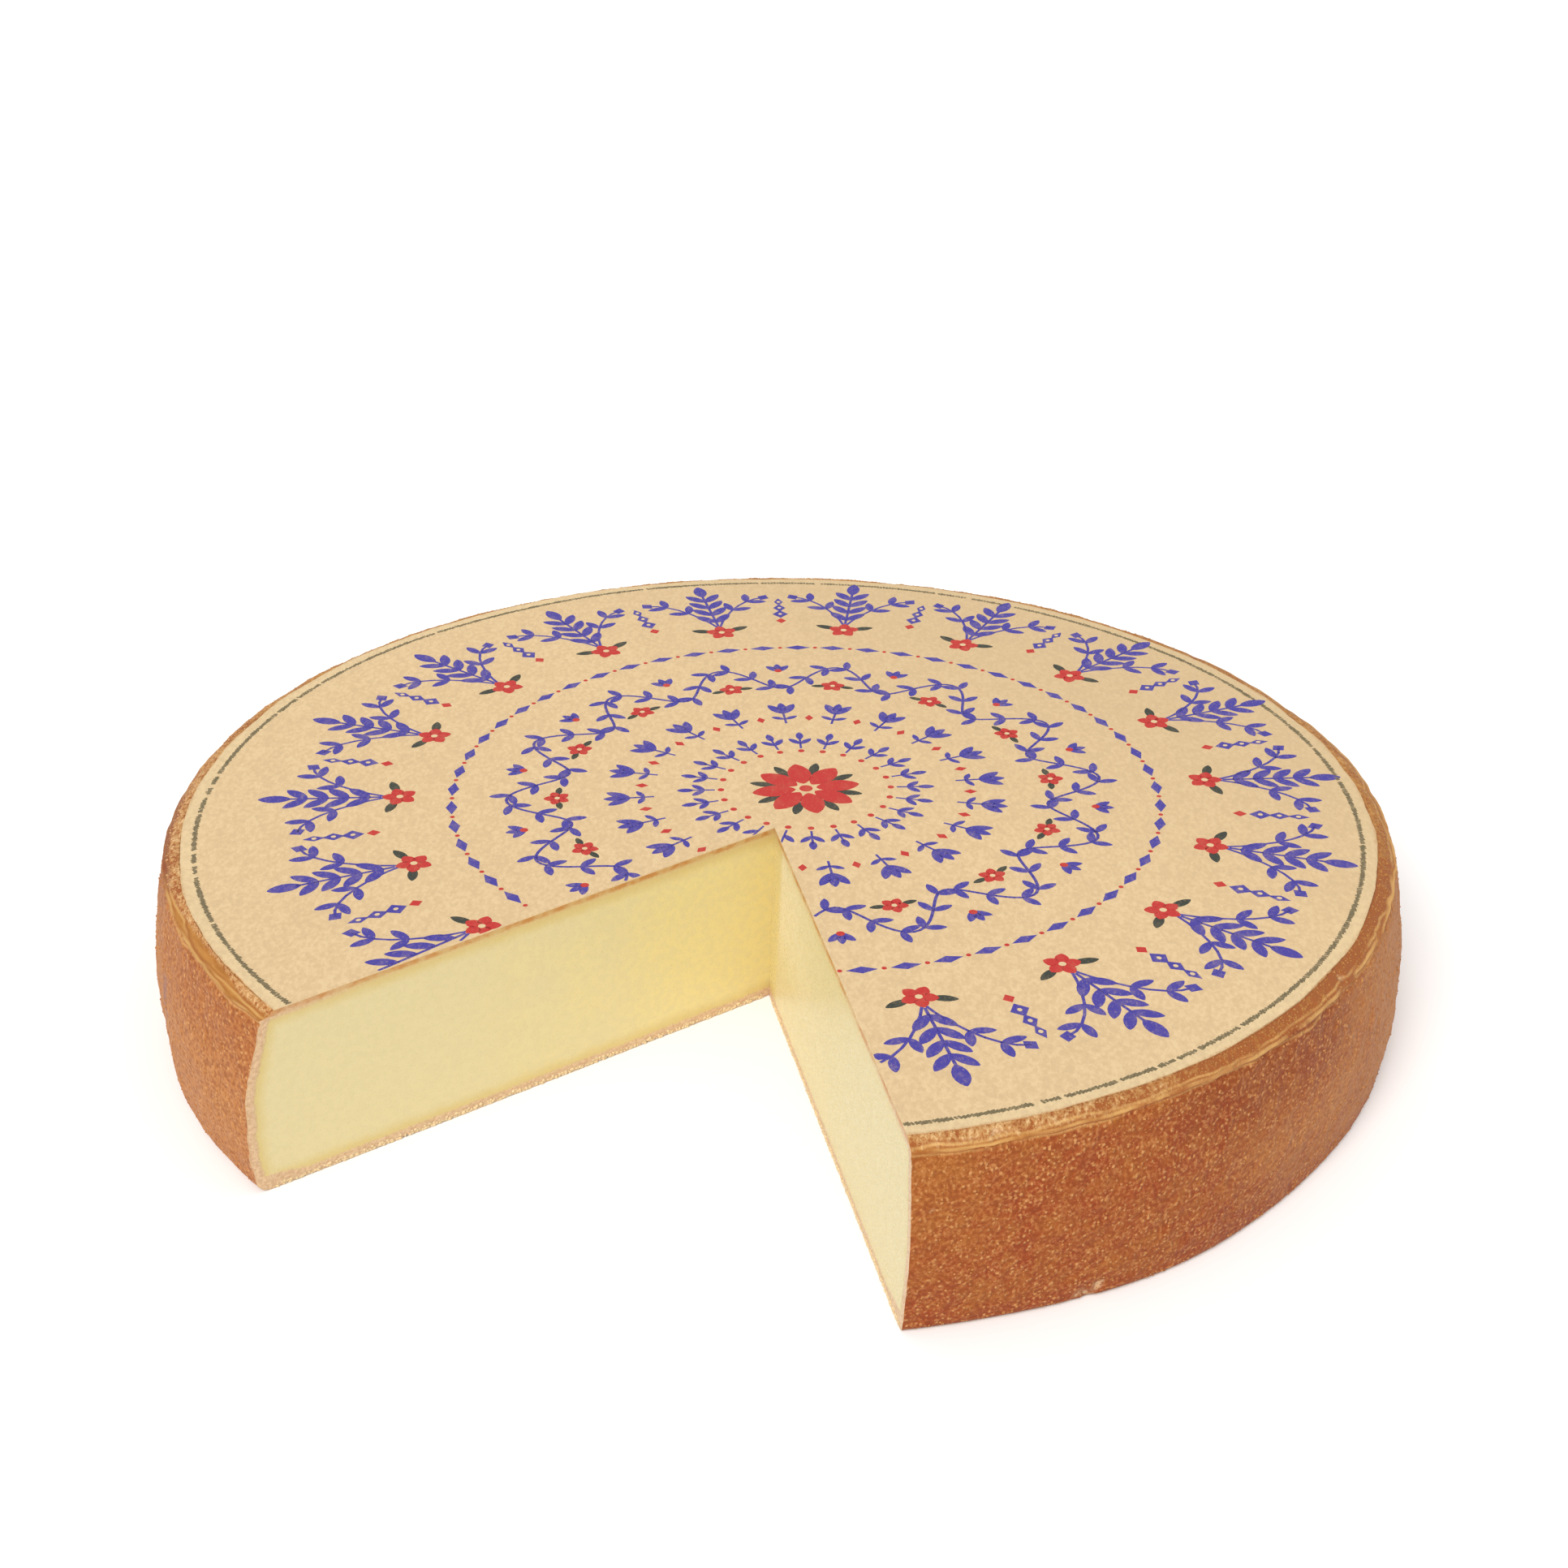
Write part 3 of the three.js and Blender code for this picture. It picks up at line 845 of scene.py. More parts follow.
# Where the rind is knocked off: metres round the side from the right cut, then the height, the
# half width and the half height, in millimetres.
CHIPS = (
    (0.0955, 3.4, 6.0, 2.8),
    (0.1010, 7.4, 3.4, 2.4),
    (0.2795, 69.5, 1.7, 2.2),
    (0.2815, 64.0, 0.9, 5.0),
    (0.0434, 93.0, 3.0, 0.8),
    (0.279, 92.8, 2.0, 0.9),
    (0.0103, 62.7, 2.6, 1.6),
    (0.47, 1.4, 3.0, 1.1),
    (0.83, 88.0, 2.6, 1.2),
    (1.21, 2.0, 3.6, 1.3),
    (1.50, 30.0, 2.0, 1.8),
)

# The map that finishes are baked to: the side's bands at the foot, the two cuts above them and
# the two flats at the top, with a margin round the bands.
MAP_MARGIN = 0.01
SIDE_BANDS = 3
BAND_TALL = 0.185
BAND_FILL = 0.96         # share of a band's height that its faces take up
CUT_STARTS = (0.01, 0.505)
CUT_FOOT = 0.58
CUT_WIDE, CUT_TALL = 0.48, 0.14
CUT_REACH = 0.33         # metres, a little more than either cut is long
FLAT_MIDDLES = ((0.13, 0.86), (0.38, 0.86))
FLAT_SCALE = 0.22        # share of the map to a metre of a flat


class Notch:
    """The two cuts, at any height: the apex and each cut's direction, straight between faces."""

    def __init__(self, shape):
        self.base, self.top = np.array(shape.notch_base), np.array(shape.notch_top)
        self.right = np.array(shape.right_cut)
        self.left = np.array(shape.left_cut) + FULL_TURN
        self.height = shape.height

    def apex(self, height):
        """Where the two cuts meet, at each height."""
        share = (height / self.height)[..., None]
        return self.base * (1.0 - share) + self.top * share

    def heading(self, turn, height):
        """Direction from the apex: the right cut at turn 0, the left one at turn 1."""
        share = height / self.height
        right = self.right[0] * (1.0 - share) + self.right[1] * share
        left = self.left[0] * (1.0 - share) + self.left[1] * share
        return right + (left - right) * turn

    def reach(self, turn, height, radius):
        """Where a ray from the apex meets the circle of that radius about the wheel's axis."""
        apex, heading = self.apex(height), self.heading(turn, height)
        step = np.stack([np.cos(heading), np.sin(heading)], -1)
        inward = (apex * step).sum(-1)
        far = -inward + np.sqrt(inward**2 + radius**2 - (apex**2).sum(-1))
        return apex + step * far[..., None]

    def blocks(self, spot, margin):
        """How far each spot lies inside the notch, past each cut in the upper face."""
        right, left = self.right[1], self.left[1]
        sides = np.array([[math.sin(right), -math.cos(right)], [-math.sin(left), math.cos(left)]])
        return (spot - self.top) @ sides.T + margin

    def sweep(self):
        """Angle that the cheese fills, in the upper face."""
        return self.left[1] - self.right[1]


def ledge_share(turn):
    """Width of the smooth ledge round the rim, as a share of its widest: broad by the left cut,
    a little wider at the right and narrow elsewhere, with slow swells between."""
    swell = ripples(41, turn * AROUND_SIDE, 0.0, 0.25) * 0.08
    left = 0.42 * ease(turn, 0.90, 0.94) + 0.50 * bell(turn, 0.958, 0.022)
    right = 0.16 * ease(turn, 0.12, 0.26) * (1.0 - ease(turn, 0.36, 0.48))
    return np.clip(0.12 + left + right + swell, 0.06, 1.0)


def side_outline(shape, turn):
    """Half section from the edge of the base to the edge of the flat top, one for each column:
    a quarter round foot, an arc through foot, girth and heel's top with a groove and a lip added
    as bell curves of height, then a smooth ledge, and a crumbly shoulder that eases into the flat.
    The foot is rounder by the left cut, and the shoulder falls less there and round the back.
    Gives radius, height, distance in from the lip, and the share of a second crease."""
    rounding = shape.foot_rounding * (1.0 + 0.7 * ease(turn, 0.95, 1.0))
    drop = shape.shoulder_drop * (1.0 - 0.25 * ease(turn, 0.90, 0.97) - 0.25 * bell(turn, 0.5, 0.18))
    quarter = np.linspace(0.0, math.pi / 2.0, FOOT_ROWS + 1)
    foot_radius = shape.foot_radius - rounding * (1.0 - np.sin(quarter))
    foot_height = rounding * (1.0 - np.cos(quarter))
    lip_height = shape.height - drop
    share = 1.0 - (1.0 - np.linspace(0.0, 1.0, HEEL_ROWS + 1)[1:]) ** HEEL_CROWDING
    heel_height = rounding + (lip_height - rounding) * share
    x, y, radius = arc_through([
        (shape.foot_radius, rounding),
        (shape.girth_radius, shape.girth_height),
        (shape.lip_radius + 0.4 * MM, shape.height - HEEL_TOP_SPAN),
    ])
    heel_radius = x + np.sqrt(radius**2 - (heel_height - y) ** 2)
    below = heel_height - lip_height
    groove, lip = bell(below, -1.8 * MM, 1.0 * MM), bell(below, -0.1 * MM, 0.8 * MM)
    heel_radius = heel_radius - groove * shape.groove_depth + lip * shape.lip_rise
    heel_radius = heel_radius + bell(below, -5.5 * MM, 3.4 * MM) * 0.5 * MM
    edge = heel_radius[:, -1:] - 0.3 * MM
    width = shape.ledge_width * ledge_share(turn)
    out = np.linspace(0.0, 1.0, LEDGE_ROWS + 1)[1:]
    rise = np.linspace(0.0, 1.0, SHOULDER_ROWS + 1)[1:]
    climb = drop - shape.ledge_drop
    fall = edge - width - shape.flat_radius
    rows = [
        (foot_radius, foot_height, foot_height - lip_height, 0.0),
        (heel_radius, heel_height, below, bell(below, -3.4 * MM, 0.7 * MM)),
        (edge - width * out, lip_height + shape.ledge_drop * out, width * out, 0.0),
        (shape.flat_radius + fall * (1.0 - rise),
         lip_height + shape.ledge_drop + climb * np.sin(rise * math.pi / 2.0),
         width + np.hypot(fall, climb) * rise, 0.0),
    ]
    return [
        np.concatenate([np.broadcast_arrays(row[k], row[0])[0] for row in rows], 1) for k in range(4)
    ]


def out_of_round(shape, angle, height):
    """How far the side lies out of round: two and three lobes that fade towards the flat top, and
    a few broad swells, each a bell curve of the angle and straight between rim, girth and base."""
    off = angle - shape.lobe_peak
    two, three = shape.lobes
    share = ease(shape.height - height, 0.0, shape.height - shape.girth_height)
    share = share + shape.lobe_growth * np.clip(1.0 - height / shape.girth_height, 0.0, 1.0)
    total = (two * np.cos(2.0 * off) + three * np.cos(3.0 * off)) * share
    levels = (0.0, shape.girth_height, shape.height - shape.shoulder_drop, shape.height)
    for middle, width, rim, girth, base in zip(
        shape.swell_middle, shape.swell_width, shape.swell_rim, shape.swell_girth, shape.swell_base
    ):
        turn = (angle - middle + math.pi) % FULL_TURN - math.pi
        total = total + bell(turn, 0.0, width) * np.interp(height, levels, (base, girth, rim, 0.0))
    return total


def chips(along, up):
    """Strength of the chips: a bell at each one's place, made ragged by a fine lattice."""
    spots, level, wide, tall = np.array(CHIPS).T * np.array([[1.0], [MM], [MM], [MM]])
    gap = ((along[..., None] - spots) / wide) ** 2 + ((up[..., None] - level) / tall) ** 2
    rough = lattice(14, along, up, 2.4 * MM) + lattice(15, along, up, 1.5 * MM)
    return np.exp(-gap).max(-1) * np.clip(0.85 + 0.9 * rough, 0.0, 1.25)


def side_relief(shape, notch, turn, height, rim, width):
    """Unevenness of the side, as a change of radius and of height.  Broad dents, palm-sized
    swells and a fine grain push the side in and out; the shoulder is crumbly, the ledge smooth."""
    sweep = notch.sweep() * shape.girth_radius
    along, up = np.broadcast_arrays(turn * sweep, height)
    lip_height = shape.height - shape.shoulder_drop
    on_side = ease(up, 0.5 * MM, 6.0 * MM)
    on_shoulder = ease(rim - width, 0.0, 1.2 * MM)
    rough = 1.0 - 0.85 * ease(rim, -0.8 * MM, 0.2 * MM) * (1.0 - on_shoulder)
    off_flat = 1.0 - ease(up, shape.height - 0.5 * MM, shape.height)
    broad = ripples(1, along, up, 150.0 * MM) * 0.25 * MM
    palm = ripples(2, along, up, 42.0 * MM) * 0.26 * MM
    thumb = ripples(3, along, up, 14.0 * MM) * 0.17 * MM
    grain = lattice(4, along, up, 4.2 * MM) * 0.26 * MM + lattice(5, along, up, 2.6 * MM) * 0.2 * MM
    crumb = lattice(6, along, rim, 3.4 * MM) * 0.28 * MM + lattice(7, along, rim, 2.3 * MM) * 0.2 * MM
    knocked = chips(along, up)
    outward = (broad + palm + thumb + grain * rough) * on_side + crumb * on_shoulder
    outward = outward * off_flat - knocked * 1.9 * MM
    open_edge = ease(along, 0.0, 4.0 * MM) * ease(sweep - along, 0.0, 4.0 * MM)
    wander = ripples(8, along, 0.0, 130.0 * MM) * 0.3 + ripples(9, along, 0.0, 24.0 * MM) * 0.12
    near_lip = bell(up, lip_height - 1.0 * MM, 4.0 * MM)
    upward = (wander * MM * near_lip + crumb * 0.5 * on_shoulder) * open_edge * off_flat
    return outward, upward, knocked


def wheel_skin(shape, notch):
    """Places of the side's vertices: each row of the half section is carried from the right cut
    round to the left one along rays from the notch's apex, so both cuts stay true.  With them
    come, at each vertex, the distance in from the lip, the ledge's width, the way round the side
    and the strength of the chips."""
    turn = np.linspace(0.0, 1.0, COLUMNS + 1)[:, None]
    radius, height, rim, second = side_outline(shape, turn)
    width = shape.ledge_width * ledge_share(turn)
    outward, upward, knocked = side_relief(shape, notch, turn, height, rim, width)
    height = height + upward
    flat = notch.reach(turn, height, radius)
    angle = np.arctan2(flat[..., 1], flat[..., 0])
    twin = np.clip(0.4 + 0.8 * ripples(12, turn * AROUND_SIDE, 0.0, 110.0 * MM), 0.0, 1.0)
    bulge = out_of_round(shape, angle, height) + outward + second * twin * 0.45 * MM
    flat = notch.reach(turn, height, radius + bulge)
    values = {
        "rim": rim, "ledge": width, "along": turn * notch.sweep() * shape.girth_radius,
        "chip": 0.85 * ease(knocked, 0.2, 0.7),
    }
    return np.concatenate([flat, height[..., None]], -1), values


class Wheel:
    """Vertex numbers, places and values of the whole closed body."""

    def __init__(self, shape):
        self.shape, self.notch = shape, Notch(shape)
        self.points, self.count = [], 0
        self.skin, side_values = wheel_skin(shape, self.notch)
        rows = self.skin.shape[1]
        share = (np.arange(DEPTHS + 1) / DEPTHS) ** DEPTH_CROWDING
        self.side = self.add(self.skin)
        self.right, right_inset = self.cut_face(0, share)
        self.left, left_inset = self.cut_face(COLUMNS, share, self.right[-1])
        self.base = self.flat_face(0, share)
        self.top = self.flat_face(rows - 1, share)
        self.values = {name: np.zeros(self.count) for name in (*side_values, "inset")}
        self.values["rim"][:] = -shape.height
        self.values["rim"][self.top] = side_values["rim"].max()
        for name, values in side_values.items():
            self.values[name][self.side] = values
        self.values["inset"][self.right] = right_inset
        self.values["inset"][self.left] = left_inset

    def add(self, block):
        """Stores a block of places and gives their vertex numbers in the block's shape."""
        number = np.arange(self.count, self.count + block[..., 0].size).reshape(block.shape[:-1])
        self.points.append(block.reshape(-1, 3))
        self.count += number.size
        return number

    def cut_face(self, column, share, apex_numbers=None):
        """A cut: each row runs level from the rim to the apex line; the lowest rows are crumbled
        upwards here and there, where the knife tore the rind of the base."""
        rim = self.skin[column]
        apex = np.concatenate([self.notch.apex(rim[:, 2]), rim[:, 2:]], -1)
        grid = rim + share[:, None, None] * (apex - rim)
        reach = np.linalg.norm(grid - rim, axis=-1)
        torn = lattice(13, reach, 0.1 + column, 7.0 * MM)
        torn = np.clip(torn + 0.1, 0.0, 1.0) * 0.8 * MM
        torn = torn * ease(reach, 4.0 * MM, 12.0 * MM) * (1.0 - ease(grid[..., 2], 0.0, 2.5 * MM))
        torn[-1] = 0.0
        grid[..., 2] += torn
        inner = self.add(grid[1:-1])
        last = self.add(grid[-1:])[0] if apex_numbers is None else apex_numbers
        inset = np.linalg.norm(grid - rim, axis=-1)
        return np.concatenate([self.side[column][None], inner, last[None]]), inset

    def flat_face(self, row, share):
        """The base or the top: each column runs level from the rim to the apex."""
        rim = self.skin[::STITCH, row]
        apex = np.append(self.notch.apex(rim[0, 2:])[0], rim[0, 2])
        grid = rim[1:-1, None] + share[None, 1:-1, None] * (apex - rim[1:-1, None])
        middle = self.add(grid)
        number = np.empty((len(rim), len(share)), int)
        number[:, 0] = self.side[::STITCH, row]
        number[:, -1] = self.right[-1, row]
        number[0], number[-1] = self.right[:, row], self.left[:, row]
        number[1:-1, 1:-1] = middle
        return number

    def places(self):
        """All vertex places, in the order of their numbers."""
        return np.concatenate(self.points)


def strip_places(columns, rows):
    """Map places of the side, folded into bands laid one above another at the map's foot."""
    column = np.arange(columns)
    band = np.minimum(column * SIDE_BANDS // columns, SIDE_BANDS - 1)
    start = band * columns // SIDE_BANDS
    left = ((column - start) * SIDE_BANDS / columns)[:, None]
    right = ((column - start + 1) * SIDE_BANDS / columns)[:, None]
    down = np.arange(rows) / (rows - 1)
    low, high = down[None, :-1], down[None, 1:]
    across = np.stack(np.broadcast_arrays(left, right, right, left), -1)
    level = np.stack(np.broadcast_arrays(low, low, high, high), -1)
    across, level = np.broadcast_arrays(across, level)
    across = MAP_MARGIN + (1.0 - 2.0 * MAP_MARGIN) * across
    level = MAP_MARGIN + (band[:, None, None] + BAND_FILL * level) * BAND_TALL
    return np.stack([across, level], -1)


def wheel_patches(wheel):
    """The faces: the side in quads, its joins to the flats in seven-cornered faces, the flats,
    a fan at each apex, and both cuts."""
    side, places = wheel.side, wheel.places()
    patches = [Patch(quads(side), strip_places(COLUMNS, side.shape[1]))]

    def flat_patch(corners, flip, middle):
        corners = corners[..., ::-1] if flip else corners
        return Patch(corners, places[corners][..., :2] * FLAT_SCALE + np.array(middle))

    flats = zip((wheel.base, wheel.top), (0, -1), (True, False), FLAT_MIDDLES)
    for grid, row, flip, middle in flats:
        inner = grid[:, 1:-1]
        fan = np.stack([inner[:-1, -1], inner[1:, -1], grid[1:, -1]], -1)
        starts = np.arange(0, COLUMNS, STITCH)
        rim = side[starts[:, None] + np.arange(STITCH + 1), row]
        join = np.concatenate([rim, inner[1:, :1], inner[:-1, :1]], -1)
        patches += [flat_patch(block, flip, middle) for block in (quads(inner), fan, join)]
    for grid, flip, start in zip((wheel.right, wheel.left), (True, False), CUT_STARTS):
        across = start + wheel.values["inset"][grid] / CUT_REACH * CUT_WIDE
        down = CUT_FOOT + places[grid][..., 2] / wheel.shape.height * CUT_TALL
        patches.append(Patch(quads(grid, flip), quad_places(across, down, flip), 1))
    return patches


class CHEESE_OT_body(bpy.types.Operator):
    """Cheese: a half section carried round from cut to cut with dents, grain and a crumbly
    shoulder, closed by the two flat cuts, the base and the top"""

    bl_idname = "cheese.body"
    bl_label = "Rind and Paste"

    def execute(self, context):
        scene = context.scene
        wheel = Wheel(scene.cheese_shape)
        materials = [
            rind_material(scene.cheese_rind),
            paste_material(scene.cheese_paste, scene.cheese_shape),
        ]
        piece = build_mesh("cheese_body", wheel.places(), wheel_patches(wheel), materials, wheel.values)
        finish_piece(piece, "cheese", "cheese_wheel")
        return {"FINISHED"}


# ------------------------------------------------------------------ crumbs of dried smear

CRUMB_SIDES = 5
CRUMB_MAP = 1.5          # share of the map to a metre, seen from above
SMALL_MORE = 1.8         # the higher, the more of the crumbs are small


def crumb_material(look, shape):
    """Dried smear: gold to tan on the side and crust to cream on the shoulder, each its own
    shade, with the shoulder more golden at the right."""
    mix = Recipe("dried_smear", roughness=0.75)
    shade = mix.noise(2.6 * MM, 1.0, 0.5)
    light = mix.band(shade, 0.34, 0.66)
    side = mix.lay(look.gold, look.pale, light, 0.6)
    shoulder = mix.lay(look.crust, look.cream, light, 0.65)
    right = mix.band(mix.axis("X"), 40.0 * MM, 200.0 * MM)
    shoulder = mix.lay(shoulder, look.ledge, right, 0.8)
    lip_height = shape.height - shape.shoulder_drop
    base = mix.blend(mix.band(mix.axis("Z"), lip_height, lip_height + 0.8 * MM), side, shoulder)
    return mix.paint(base, mix.band(shade, -1.5, 1.0), mix.noise(0.7 * MM, 2.0, 0.5), 0.15 * MM)


def crumb_spots(rng, skin, count, low_row, high_row):
    """Random spots on the side's grid, with the surface's two tangents and its normal there."""
    column = rng.uniform(2.0, COLUMNS - 2.0, count)
    row = rng.uniform(low_row, high_row, count)
    i, j = column.astype(int), row.astype(int)
    a, b = (column - i)[:, None], (row - j)[:, None]
    place = (skin[i, j] * (1 - a) + skin[i + 1, j] * a) * (1 - b)
    place = place + (skin[i, j + 1] * (1 - a) + skin[i + 1, j + 1] * a) * b
    along = skin[i + 1, j] - skin[i, j]
    along = along / np.linalg.norm(along, axis=-1, keepdims=True)
    normal = np.cross(along, skin[i, j + 1] - skin[i, j])
    normal = normal / np.linalg.norm(normal, axis=-1, keepdims=True)
    return place, along, np.cross(normal, along), normal


def crumb_arrays(rng, spots, size_low, size_high):
    """Each crumb is a sunk ring, a smaller raised ring and a tip: the rings are polygons whose
    corners are pushed in and out at random, in the plane of the two tangents."""
    place, along, across, normal = spots
    count = len(place)
    size = rng.uniform(0.0, 1.0, (count, 1)) ** SMALL_MORE * (size_high - size_low) + size_low
    angle = np.arange(CRUMB_SIDES) / CRUMB_SIDES * FULL_TURN + rng.uniform(0, FULL_TURN, (count, 1))
    wobble = rng.uniform(0.7, 1.25, (count, CRUMB_SIDES))
    stretch = rng.uniform(0.7, 1.0, (count, 1))
    x = np.cos(angle) * wobble * size
    y = np.sin(angle) * wobble * size * stretch
    rise = size * rng.uniform(0.35, 0.7, (count, 1))

    def ring(share, lift):
        flat = along[:, None] * (x * share)[..., None] + across[:, None] * (y * share)[..., None]
        return place[:, None] + flat + normal[:, None] * lift[..., None]

    tip = (place + normal * rise)[:, None]
    return np.concatenate([ring(1.0, -0.3 * size), ring(0.72, 0.65 * rise), tip], 1)


def crumb_patches(count):
    """Skirt quads, tip triangles and the closing under side of every crumb."""
    sides = np.arange(CRUMB_SIDES)
    following = (sides + 1) % CRUMB_SIDES
    first = (np.arange(count) * (2 * CRUMB_SIDES + 1))[:, None, None]
    raised, raised_following = sides + CRUMB_SIDES, following + CRUMB_SIDES
    skirt = np.stack([sides, following, raised_following, raised], -1)
    tips = np.stack([raised, raised_following, np.full(CRUMB_SIDES, 2 * CRUMB_SIDES)], -1)
    under = sides[None, ::-1]
    return [first + skirt, first + tips, first + under]


def crumb_piece(name, points, material):
    """All crumbs of one kind joined in a mesh of its own."""
    flat = points.reshape(-1, 3)
    blocks = crumb_patches(len(points))
    patches = [Patch(block, flat[block][..., :2] * CRUMB_MAP + 0.5) for block in blocks]
    piece = build_mesh(name, flat, patches, [material], sharp=math.radians(70))
    finish_piece(piece, "cheese")


class CHEESE_OT_crumbs(bpy.types.Operator):
    """Crumbs of dried smear: thousands of small uneven domes set on the side and the shoulder"""

    bl_idname = "cheese.crumbs"
    bl_label = "Rind Crumbs"

    def execute(self, context):
        scene = context.scene
        look, shape = scene.cheese_rind, scene.cheese_shape
        skin, _values = wheel_skin(shape, Notch(shape))
        rng = np.random.default_rng(23)
        lip = FOOT_ROWS + HEEL_ROWS
        on_side = crumb_spots(rng, skin, look.crumbs, FOOT_ROWS - 4, lip - 3)
        on_shoulder = crumb_spots(
            rng, skin, look.shoulder_crumbs, lip + LEDGE_ROWS, skin.shape[1] - 1.5
        )
        points = np.concatenate([
            crumb_arrays(rng, on_side, 0.3 * MM, 0.9 * MM),
            crumb_arrays(rng, on_shoulder, 0.3 * MM, 0.75 * MM),
        ])
        crumb_piece("rind_crumbs", points, crumb_material(look, shape))
        return {"FINISHED"}


def torn_material(look):
    """Torn rind: pale beige grains with darker ones between."""
    mix = Recipe("torn_rind", roughness=0.75)
    shade = mix.noise(2.2 * MM, 1.0, 0.5)
    light = tuple(min(1.0, part * 1.25) for part in look.rind_edge)
    base = mix.blend(mix.band(shade, 0.36, 0.60), look.rind_edge, light)
    base = mix.blend(0.45, base, look.paste)
    return mix.paint(base, mix.band(shade, -1.5, 1.0), mix.noise(0.7 * MM, 2.0, 0.5), 0.15 * MM)


def edge_spots(rng, wheel, grid, count):
    """Random spots along the lower edge of a cut, the more the lower, with the two tangents and
    the normal there."""
    places = wheel.places()[grid]
    foot = places[0, 0], places[-1, 0]
    along = (foot[1] - foot[0]) * np.array([1.0, 1.0, 0.0])
    along = along / np.linalg.norm(along)
    share = rng.uniform(0.004, 0.985, (count, 1))
    place = foot[0] * (1.0 - share) + foot[1] * share
    place[:, 2] = 0.35 * MM + 1.9 * MM * rng.uniform(0.0, 1.0, count) ** 2.0
    upward = np.tile((0.0, 0.0, 1.0), (count, 1))
    along = np.tile(along, (count, 1))
    normal = np.cross(along, upward)
    return place, along, upward, normal


class CHEESE_OT_cut_crumbs(bpy.types.Operator):
    """Torn crumbs of the base's rind: small uneven domes along the lower edge of both cuts"""

    bl_idname = "cheese.cut_crumbs"
    bl_label = "Cut Crumbs"

    def execute(self, context):
        scene = context.scene
        wheel = Wheel(scene.cheese_shape)
        rng = np.random.default_rng(29)
        points = []
        for grid, flip in ((wheel.left, 1.0), (wheel.right, -1.0)):
            count = scene.cheese_rind.cut_crumbs // 2
            place, along, upward, normal = edge_spots(rng, wheel, grid, count)
            spots = place, along * flip, upward, normal * flip
            points.append(crumb_arrays(rng, spots, 0.4 * MM, 1.25 * MM))
        points = np.concatenate(points)
        points[..., 2] = np.maximum(points[..., 2], 0.02 * MM)
        crumb_piece("cut_crumbs", points, torn_material(scene.cheese_paste))
        return {"FINISHED"}


# ------------------------------------------------------------------ the paper label

PAPER_COLUMNS = 360
PAPER_RINGS = 40
LABEL_MAP = 2.04         # width of the map, in label radii


def paper_height(x, y):
    """Upper face of the paper: level, with soft swells where it follows the cheese."""
    return LABEL_BOX[1].z + ripples(31, x, y, 120.0 * MM) * 0.12 * MM


def paper_grid(look, shape, notch):
    """Flat places of the label on rays from the notch's apex, with a slightly ragged rim."""
    turn = np.linspace(0.0, 1.0, PAPER_COLUMNS + 1)[:, None]
    height = np.full_like(turn, shape.height)
    ragged = ripples(32, turn * AROUND_SIDE, 0.0, 60.0 * MM) * 0.35 * MM
    ragged = ragged + lattice(33, turn * AROUND_SIDE, 0.0, 5.0 * MM) * 0.25 * MM
    rim = notch.reach(turn, height, look.radius - 0.4 * MM + ragged)
    share = (np.arange(PAPER_RINGS + 1) / PAPER_RINGS)[:, None]
    apex = notch.apex(np.array([shape.height]))
    return rim + share * (apex[None] - rim)


def label_faces(look, shape):
    """Places and faces of the label: an upper and a lower face, each closed by a fan at the
    notch's apex, and a wall round the rim and along both cuts."""
    flat = paper_grid(look, shape, Notch(shape))
    upper = np.concatenate([flat, paper_height(flat[..., 0], flat[..., 1])[..., None]], -1)
    lower = np.concatenate([flat, np.full(flat.shape[:2] + (1,), LABEL_BOX[0].z)], -1)
    count = flat[..., 0].size
    top = np.arange(count).reshape(flat.shape[:2])
    top[:, -1] = top[0, -1]
    bottom = top + count
    places = np.concatenate([upper.reshape(-1, 3), lower.reshape(-1, 3)])
    rings = np.stack([bottom, top], -1)
    blocks = [
        quads(top[:, :-1]), quads(bottom[:, :-1], True),
        np.stack([top[:-1, -2], top[1:, -2], top[1:, -1]], -1),
        np.stack([bottom[1:, -2], bottom[:-1, -2], bottom[1:, -1]], -1),
        quads(rings[:, 0]), quads(rings[0], True), quads(rings[-1]),
    ]
    patches = [Patch(block, planar_places(places, block, look)) for block in blocks]
    return drop_unused(places, patches), patches


def planar_places(places, corners, look):
    """Map places straight from above, so that the disc fills the map."""
    return places[corners][..., :2] / (LABEL_MAP * look.radius) + 0.5


def drop_unused(places, patches):
    """Gives only the places that the faces use, and numbers the faces' corners anew."""
    corners = np.concatenate([patch.corners.ravel() for patch in patches])
    used, numbers = np.unique(corners, return_inverse=True)
    ends = np.cumsum([patch.corners.size for patch in patches])[:-1]
    for patch, block in zip(patches, np.split(numbers.ravel(), ends)):
        patch.corners = block.reshape(patch.corners.shape)
    return places[used]


class CHEESE_OT_label(bpy.types.Operator):
    """Paper label: a thin disc on rays from the notch's apex, softly swelling, ragged at its rim"""

    bl_idname = "cheese.label"
    bl_label = "Paper Label"

    def execute(self, context):
        look = context.scene.cheese_print
        places, patches = label_faces(look, context.scene.cheese_shape)
        piece = build_mesh("printed_label", places, patches, [paper_material(look)])
        finish_piece(piece, "label_paper", "paper_label")
        return {"FINISHED"}


# ------------------------------------------------------------------ the print on the label

CORNERS = 16
CORD_STROKES = 1000
INK_RISE = 0.06 * MM
CUT_MARGIN = 0.25 * MM   # how far the ink stops short of the cuts
AROUND = np.arange(CORNERS) / CORNERS * FULL_TURN
CIRCLE = np.stack([np.cos(AROUND), np.sin(AROUND)], -1)


def leaf():
    """Pointed oval: x is the cosine, y the sine drawn in towards both tips."""
    return np.stack([CIRCLE[:, 0], CIRCLE[:, 1] * np.sqrt(np.abs(CIRCLE[:, 1]))], -1)


